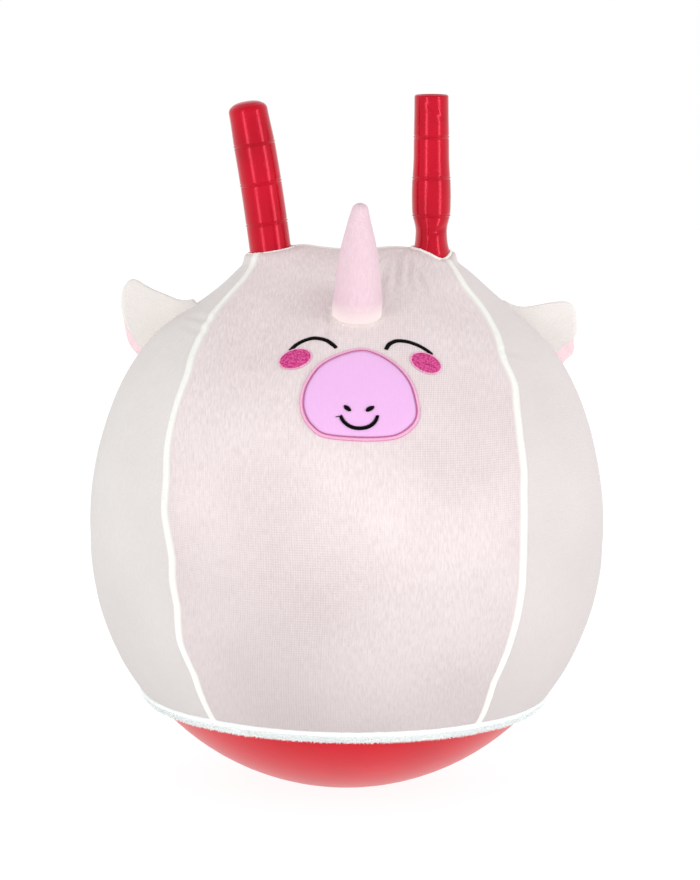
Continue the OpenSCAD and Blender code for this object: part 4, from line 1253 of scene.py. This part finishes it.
class HOPPER_OT_cheeks(bpy.types.Operator):
    """Fill the two cheeks with thread"""

    bl_idname = "hopper.cheeks"
    bl_label = "Cheeks"

    def execute(self, context):
        a = np.linspace(0, 2 * np.pi, 120, endpoint=False)
        for node, (mid, wide, tall, turn) in CHEEKS.items():
            c, d = math.cos(math.radians(turn)), math.sin(math.radians(turn))
            x, y = wide * np.cos(a), tall * np.sin(a)
            outline = np.stack([x * c - y * d, x * d + y * c], -1)
            rings = [outline * k + np.array(mid) for k in CHEEK_RINGS]
            pad, top, upper = face_pad(node + "_pad", rings, CHEEK_LIFTS, 0.6, "Thread magenta")
            place(pad, "root", "cheek_thread", node)
            bed = piece(node + "_bed", top, upper)
            strands = grown(node + "_strands", bed, "Thread fill", "Thread magenta",
                            Density=1.5e6, Length=3.0 * MM, Thread=0.36 * MM, Spread=1.6, Seed=31)
            place(strands, "root", "cheek_thread")
            line = outline[::-1] * 1.03 + np.array(mid)
            edge = stitched(node + "_edge", line, 1.05, 0.75, "Thread cheek edge", closed=True,
                            slant=1.0, seed=6, thread_r=0.3 * MM, spacing=0.75 * MM)
            place(edge, "root", "cheek_thread")
        return {"FINISHED"}


# Horn and ears

HORN_AT = on_cover(heading(0, 61.0))
HORN_LEAN = math.radians(12)
HORN_AXIS = np.array([0, -math.sin(HORN_LEAN), math.cos(HORN_LEAN)])
HORN_OUT = np.array([1.0, 0, 0])
HORN_FORE = np.cross(HORN_AXIS, HORN_OUT)
HORN_L = 100 * MM
HORN_R = 22.5 * MM
HORN_SIDES = 96
# the horn's width in millimetres by share of its height, and where its round tip starts
HORN_WIDTHS = [
    (0, 44.6), (0.1, 43.2), (0.22, 41), (0.37, 38), (0.51, 34), (0.65, 28.4), (0.78, 22), (0.9, 16.6),
    (0.94, 14.6), (1, 8)]
TIP_FROM, TIP_OVER, SHAFT_ROWS = 0.94, 0.06, 96
# the share of its height over which the horn's foot follows the cover, and how far it is drawn in in front
FOOT_SHARE, FOOT_IN = 0.14, 0.34
# the seam up its back: its depth, and its half width as an angle
BACK_SEAM, BACK_SEAM_HALF = 0.8 * MM, 0.09
# the gathered cloth round the foot: its width, its height at the foot, and its puckers' height
GATHER_W, GATHER_H, PUCKER_H, GATHER_COLS, GATHER_ROWS = 6.5 * MM, 1.9 * MM, 0.5 * MM, 180, 9


class HOPPER_OT_horn(bpy.types.Operator):
    """Stuff the horn and gather its foot"""

    bl_idname = "hopper.horn"
    bl_label = "Horn"

    def execute(self, context):
        self.horn(context.scene.hopper_horn.lean)
        self.gather()
        paint_node("horn_stuffing", "Stuffing fibre")
        return {"FINISHED"}

    def horn(self, bend):
        round_end = np.sin(np.linspace(0, np.pi / 2, 24)[1:])
        t = np.concatenate([np.linspace(0, TIP_FROM, SHAFT_ROWS), TIP_FROM + TIP_OVER * round_end])
        r = np.interp(t, *zip(*HORN_WIDTHS)) / 2 * MM
        shaft = softened(r[:SHAFT_ROWS], 7, mode="reflect", reflect_type="odd")
        tip = np.clip((t - TIP_FROM) / TIP_OVER, 0, 1)
        r = np.append(shaft, (shaft[-1] * np.sqrt(np.maximum(1e-6, 1 - tip**2)))[SHAFT_ROWS:])
        a = np.linspace(0, 2 * np.pi, HORN_SIDES, endpoint=False)
        z = (t * HORN_L)[:, None] + 0 * a
        x, y = r[:, None] * np.cos(a) + bend * (z / HORN_L) ** 2, r[:, None] * np.sin(a)
        ring = HORN_AT + x[..., None] * HORN_OUT + y[..., None] * HORN_FORE + z[..., None] * HORN_AXIS
        centre = HORN_AT + (bend * (t[:, None] ** 2)) * HORN_OUT + (t * HORN_L)[:, None] * HORN_AXIS
        lump = waves(ring, (0.9 * MM, 0.024, 14), (0.25 * MM, 0.008, 15))
        # the foot follows the cover all round, drawn in at the front
        sewn = ring[0] - HORN_AT
        sewn = 0.97 * (sewn - FOOT_IN * np.minimum(sewn @ HORN_FORE, 0)[:, None] * HORN_FORE)
        foot = on_cover(HORN_AT + sewn - MIDDLE, -1.2 * MM)
        near = np.clip(1 - t / FOOT_SHARE, 0, 1)[:, None, None]
        ring = ring + near * near * (3 - 2 * near) * (foot[None] - ring[:1])
        seam = -BACK_SEAM * bell((a - np.pi / 2 + np.pi) % (2 * np.pi) - np.pi, BACK_SEAM_HALF)[None, :]
        away = ring - centre[:, None]
        size = np.linalg.norm(away, axis=-1, keepdims=True)
        swell = (lump + seam) * np.clip(size[..., 0] / (6 * MM), 0, 1)
        ring = ring + away / np.maximum(size, 1e-6) * swell[..., None]
        o = capped("horn_plush", ring, np.stack([a[None] * 16 * MM + 0 * z, z], -1), "Velboa pink")
        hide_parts("horn_cover", "horn_foot")
        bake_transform(o)

    def gather(self):
        """The cover's cloth puckers round the foot."""
        b = np.linspace(0, 2 * np.pi, GATHER_COLS, endpoint=False)
        pucker = np.sin(b * 31 + 2 * np.sin(3 * b)) + 0.6 * np.sin(b * 17 + 1.3)
        edge = 1 + 0.15 * np.sin(b * 5 + 1.0) + 0.08 * np.sin(b * 13)
        k = np.linspace(0, 1, GATHER_ROWS)[:, None]
        reach = (HORN_R * 0.92 + k * GATHER_W * edge)[..., None]
        fore = np.maximum(np.sin(b), (1 - FOOT_IN) * np.sin(b))[:, None] * HORN_FORE
        rings = unit(HORN_AT + reach * (np.cos(b)[:, None] * HORN_OUT + fore) - MIDDLE)
        puckers = PUCKER_H * pucker * np.sin(np.pi * k) * (1 - k)
        high = GATHER_H * (1 - k) ** 1.6 - 0.25 * MM * k + puckers + relief(rings)
        high[-1] -= 0.6 * MM
        top, low = on_cover(rings, high), on_cover(rings, -0.8 * MM + relief(rings))
        place(skin("horn_gather", top[::-1], low[::-1], "Gather pile", True), "root", "plush_cream")


# an ear: its sewn edge's length, its height, the height of its foot and its curl; and that edge's place, in
# degrees behind the side and of latitude
EAR_BASE, EAR_H, EAR_FOOT, EAR_CURL = 66 * MM, 49 * MM, 5.5 * MM, 13 * MM
EAR_BACK, EAR_LAT = 5.0, 48.5
# its layers, as depths from its middle: the plush and its puff, the lining's back and front, and its puff
EAR_PLUSH, EAR_PUFF = 0.4 * MM, 2.2 * MM
LINING_BACK, LINING_FRONT, LINING_PUFF = 0.5 * MM, 0.8 * MM, 1.7 * MM
# outlines of the ears' plush and lining from the upper to the lower end of the sewn edge, as the share of
# the way along that edge and the height over it in millimetres
EARS = {
    LEFT: (
        [(-0.03, -4.6), (0.06, -0.6), (0.141, 5.2), (0.221, 15.3), (0.30, 25.6), (0.343, 33.2),
         (0.373, 39.0), (0.406, 43.2), (0.464, 45.5), (0.547, 44.4), (0.634, 41.3), (0.722, 35.9),
         (0.79, 30.0), (0.845, 24.0), (0.885, 17.5), (0.913, 10.0), (0.938, 3.0), (0.943, -4.6)],
        [(0.0, -4.6), (0.09, -0.6), (0.165, 5.0), (0.245, 15.3), (0.32, 25.6), (0.36, 33.0), (0.39, 38.4),
         (0.42, 42.2), (0.464, 44.2), (0.547, 43.3), (0.634, 40.2), (0.722, 35.2), (0.807, 27.8),
         (0.895, 18.6), (0.989, 8.4), (1.034, 1.3), (1.04, -4.6)]),
    RIGHT: (
        [(-0.06, -4.6), (0.08, -2.0), (0.21, 3.2), (0.32, 11.6), (0.419, 20.1), (0.526, 28.3), (0.609, 32.8),
         (0.689, 33.4), (0.772, 31.2), (0.846, 27.2), (0.92, 22.0), (0.982, 17.1), (1.006, 9.9), (0.984, 2.7),
         (0.968, -4.6)],
        [(-0.02, -4.6), (0.12, -2.0), (0.24, 3.2), (0.34, 11.0), (0.43, 19.3), (0.526, 27.0), (0.609, 31.4),
         (0.689, 32.0), (0.772, 30.0), (0.846, 26.2), (0.92, 21.2), (0.98, 16.4), (1.03, 10.8), (1.099, 6.8),
         (1.15, 1.0), (1.14, -4.6)]),
}
EAR_ROWS, EAR_COLS = 40, 110


def ear_frame(side):
    """The middle of an ear's sewn edge, and the directions away from the ball, down and back there."""
    az = side * (90 + EAR_BACK)
    u = heading(az, EAR_LAT)
    down = unit(heading(az, EAR_LAT - 1) - heading(az, EAR_LAT + 1))
    return u * cover_radius(u), u, down, side * np.cross(u, down)


def ear_point(side, outline, t, s, depth):
    """A point of an ear, with t along its outline and s from the sewn edge to the outline."""
    at, u, down, back = ear_frame(side)
    rim = curve(outline, 400)
    q, h = (np.interp(t, np.linspace(0, 1, 400), column) for column in rim.T)
    # the sewn edge follows the cover
    sewn = np.linspace(-0.1, 1.3, 60)
    line = at + ((sewn - 0.5) * EAR_BASE)[:, None] * down
    low = (unit(line) * (cover_radius(line) - 1.5 * MM)[:, None] - at) @ u - EAR_FOOT
    foot = outline[0][0] + (outline[-1][0] - outline[0][0]) * t
    base = np.interp(foot, sewn, low)
    q, h = foot + (q - foot) * s, base + (h * MM - base) * s
    curl = EAR_CURL * (-q * q + 0.35 * (1 - q)) * np.maximum(h, 0) / EAR_H
    p = at + ((q - 0.5) * EAR_BASE)[..., None] * down + (EAR_FOOT + h)[..., None] * u
    return p + (curl + depth)[..., None] * back + MIDDLE


class HOPPER_OT_ears(bpy.types.Operator):
    """Sew the two lined ears to the sides of the cover"""

    bl_idname = "hopper.ears"
    bl_label = "Ears"

    def execute(self, context):
        for side, name in NAMES.items():
            t, s = np.meshgrid(np.linspace(0, 1, EAR_COLS + 1), smooth(EAR_ROWS))
            if side == LEFT:
                t = 1 - t
            edge = np.minimum(1, np.minimum(np.minimum(t, 1 - t) * 12, (1 - s) * 8))
            puff = np.sqrt(np.clip(edge * (2 - edge), 0, 1))
            plush_line, lining_line = EARS[side]
            lump = 0.6 * MM * wavy(ear_point(side, plush_line, t, s, 0 * t), 0.02, 16)
            # from the back of the ear to its front
            outer = ear_point(side, plush_line, t, s, -(EAR_PLUSH + EAR_PUFF * puff) + lump)
            middle = ear_point(side, plush_line, t, s, EAR_PLUSH + lump)
            behind = ear_point(side, lining_line, t, s, LINING_BACK + lump)
            front = ear_point(side, lining_line, t, s, LINING_FRONT + LINING_PUFF * puff + lump)
            ear = skin(name + "_ear_plush", outer, middle, "Ear velboa")
            lining = skin(name + "_ear_inside", behind, front, "Ear lining")
            for part, slot in ((ear, "ear_plush"), (lining, "ear_lining")):
                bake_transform(part)
            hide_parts(name + "_ear", name + "_ear_foot")
            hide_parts(name + "_ear_lining")
        return {"FINISHED"}


# Stage

# area lights: place, width and height in metres, and power
LAMPS = {
    "left_strip": ((-1.28, -1.8, 0.45), (0.42, 1.7), 13.0),
    "right_strip": ((1.68, -1.38, 0.6), (0.42, 1.7), 13.0),
    "low_front": ((0.0, -2.6, 0.35), (2.4, 0.6), 0.8),
}
# the camera's height over level, turn to the side and roll, its distance, the point it looks at to the
# right of and over the ball's middle, and the width that its picture covers there
CAMERA_ANGLES = 10.0, -3.0, 0.9
CAMERA_FAR, AIM_RIGHT, AIM_UP, PICTURE_W, SENSOR = 3.0, 3.14 * MM, 85.8 * MM, 0.7902, 36
FLOOR_HALF = 6


class HOPPER_OT_stage(bpy.types.Operator):
    """Set the floor, the soft lights and the camera"""

    bl_idname = "hopper.stage"
    bl_label = "Stage"

    def execute(self, context):
        scene = context.scene
        self.floor()
        # white all round, a little dimmer overhead
        scene.world = scene.world or bpy.data.worlds.new("Studio")
        scene.world.use_nodes = True
        tree = scene.world.node_tree
        sky = add(tree, "ShaderNodeTexCoord").outputs["Generated"]
        height = add(tree, "ShaderNodeSeparateXYZ", {"Vector": sky}).outputs["Z"]
        white = add(tree, "ShaderNodeValToRGB", {"Fac": height}, ((0.35, "#ffffff"), (1.0, "#d6d6d6")))
        feed(tree, tree.nodes["Background"], {"Color": white, "Strength": scene.hopper_stage.ambient})
        for name, (at, size, power) in LAMPS.items():
            light = bpy.data.lights.new(name, "AREA")
            light.shape, light.energy = "RECTANGLE", power
            light.size, light.size_y = size
            lamp = linked(name, light)
            lamp.location = at
            aim = Vector((0, 0, at[2] - 0.05)) - Vector(at)
            lamp.rotation_euler = aim.to_track_quat("-Z", "Y").to_euler()
        scene.camera = self.camera()
        scene.view_settings.view_transform = "Standard"
        return {"FINISHED"}

    def floor(self):
        """A lit acrylic table: white, with most of the shadow washed out."""
        t, shader = material("Studio floor", Roughness=0.9, Specular_IOR_Level=0.0)
        feed(t, shader, {"Emission Color": colour("#ffffff"), "Emission Strength": 0.92})
        where = add(t, "ShaderNodeTexCoord").outputs["Object"]
        cloud = add(t, "ShaderNodeTexNoise", {"Vector": where, "Scale": 3.0})
        grey = add(t, "ShaderNodeValToRGB", {"Fac": cloud}, ((0.2, "#6e6e6e"), (0.8, "#727272")))
        feed(t, shader, {"Base Color": grey})
        w = FLOOR_HALF
        o = piece("floor", [(-w, -w, 0), (w, -w, 0), (w, w, 0), (-w, w, 0)], [(0, 1, 2, 3)])
        o.data.materials.append(bpy.data.materials["Studio floor"])

    def camera(self):
        elevation, side, roll = (math.radians(a) for a in CAMERA_ANGLES)
        level = math.cos(elevation)
        back = Vector((math.sin(side) * level, -math.cos(side) * level, math.sin(elevation)))
        right = Vector((math.cos(side), math.sin(side), 0))
        up = back.cross(right)
        up, right = up * math.cos(roll) - right * math.sin(roll), right * math.cos(roll) + up * math.sin(roll)
        ball = Vector(MIDDLE)
        at, target = ball + back * CAMERA_FAR, ball + right * AIM_RIGHT + up * AIM_UP
        look = (at - target).normalized()
        right = up.cross(look).normalized()
        up = look.cross(right)
        camera = bpy.data.cameras.new("camera")
        camera.sensor_width = SENSOR
        camera.lens = SENSOR * (at - target).length / PICTURE_W
        camera.clip_start, camera.clip_end = 0.1, 50
        body = linked("camera", camera)
        body.matrix_world = Matrix((*zip(right, up, look, at), (0, 0, 0, 1)))
        return body


# Add-on

OPERATORS = (
    HOPPER_OT_vinyl, HOPPER_OT_grips, HOPPER_OT_panels, HOPPER_OT_seams, HOPPER_OT_hem, HOPPER_OT_collars,
    HOPPER_OT_snout, HOPPER_OT_lines, HOPPER_OT_cheeks, HOPPER_OT_horn, HOPPER_OT_ears, HOPPER_OT_stage)
SETTINGS = {
    "hopper_ball": HopperBallSettings, "hopper_cover": HopperCoverSettings, "hopper_face": HopperFaceSettings,
    "hopper_horn": HopperHornSettings, "hopper_stage": HopperStageSettings}


class HOPPER_PT_panel(bpy.types.Panel):
    """Lists the hopper ball's pieces and sizes"""

    bl_idname = "HOPPER_PT_panel"
    bl_label = "Hopper ball"
    bl_space_type = "VIEW_3D"
    bl_region_type = "UI"
    bl_category = "Hopper Ball"

    def draw(self, context):
        for name, group in SETTINGS.items():
            for key in group.__annotations__:
                self.layout.prop(getattr(context.scene, name), key)
        for op in OPERATORS:
            self.layout.operator(op.bl_idname)


def register():
    for group in SETTINGS.values():
        bpy.utils.register_class(group)
    for c in (*OPERATORS, HOPPER_PT_panel):
        bpy.utils.register_class(c)
    for name, group in SETTINGS.items():
        setattr(bpy.types.Scene, name, bpy.props.PointerProperty(type=group))


def unregister():
    for name in SETTINGS:
        delattr(bpy.types.Scene, name)
    for c in (HOPPER_PT_panel, *reversed(OPERATORS)):
        bpy.utils.unregister_class(c)
    for group in SETTINGS.values():
        bpy.utils.unregister_class(group)


def main():
    register()
    for op in OPERATORS:
        group, name = op.bl_idname.split(".")
        getattr(getattr(bpy.ops, group), name)()


if __name__ == "__main__":
    main()
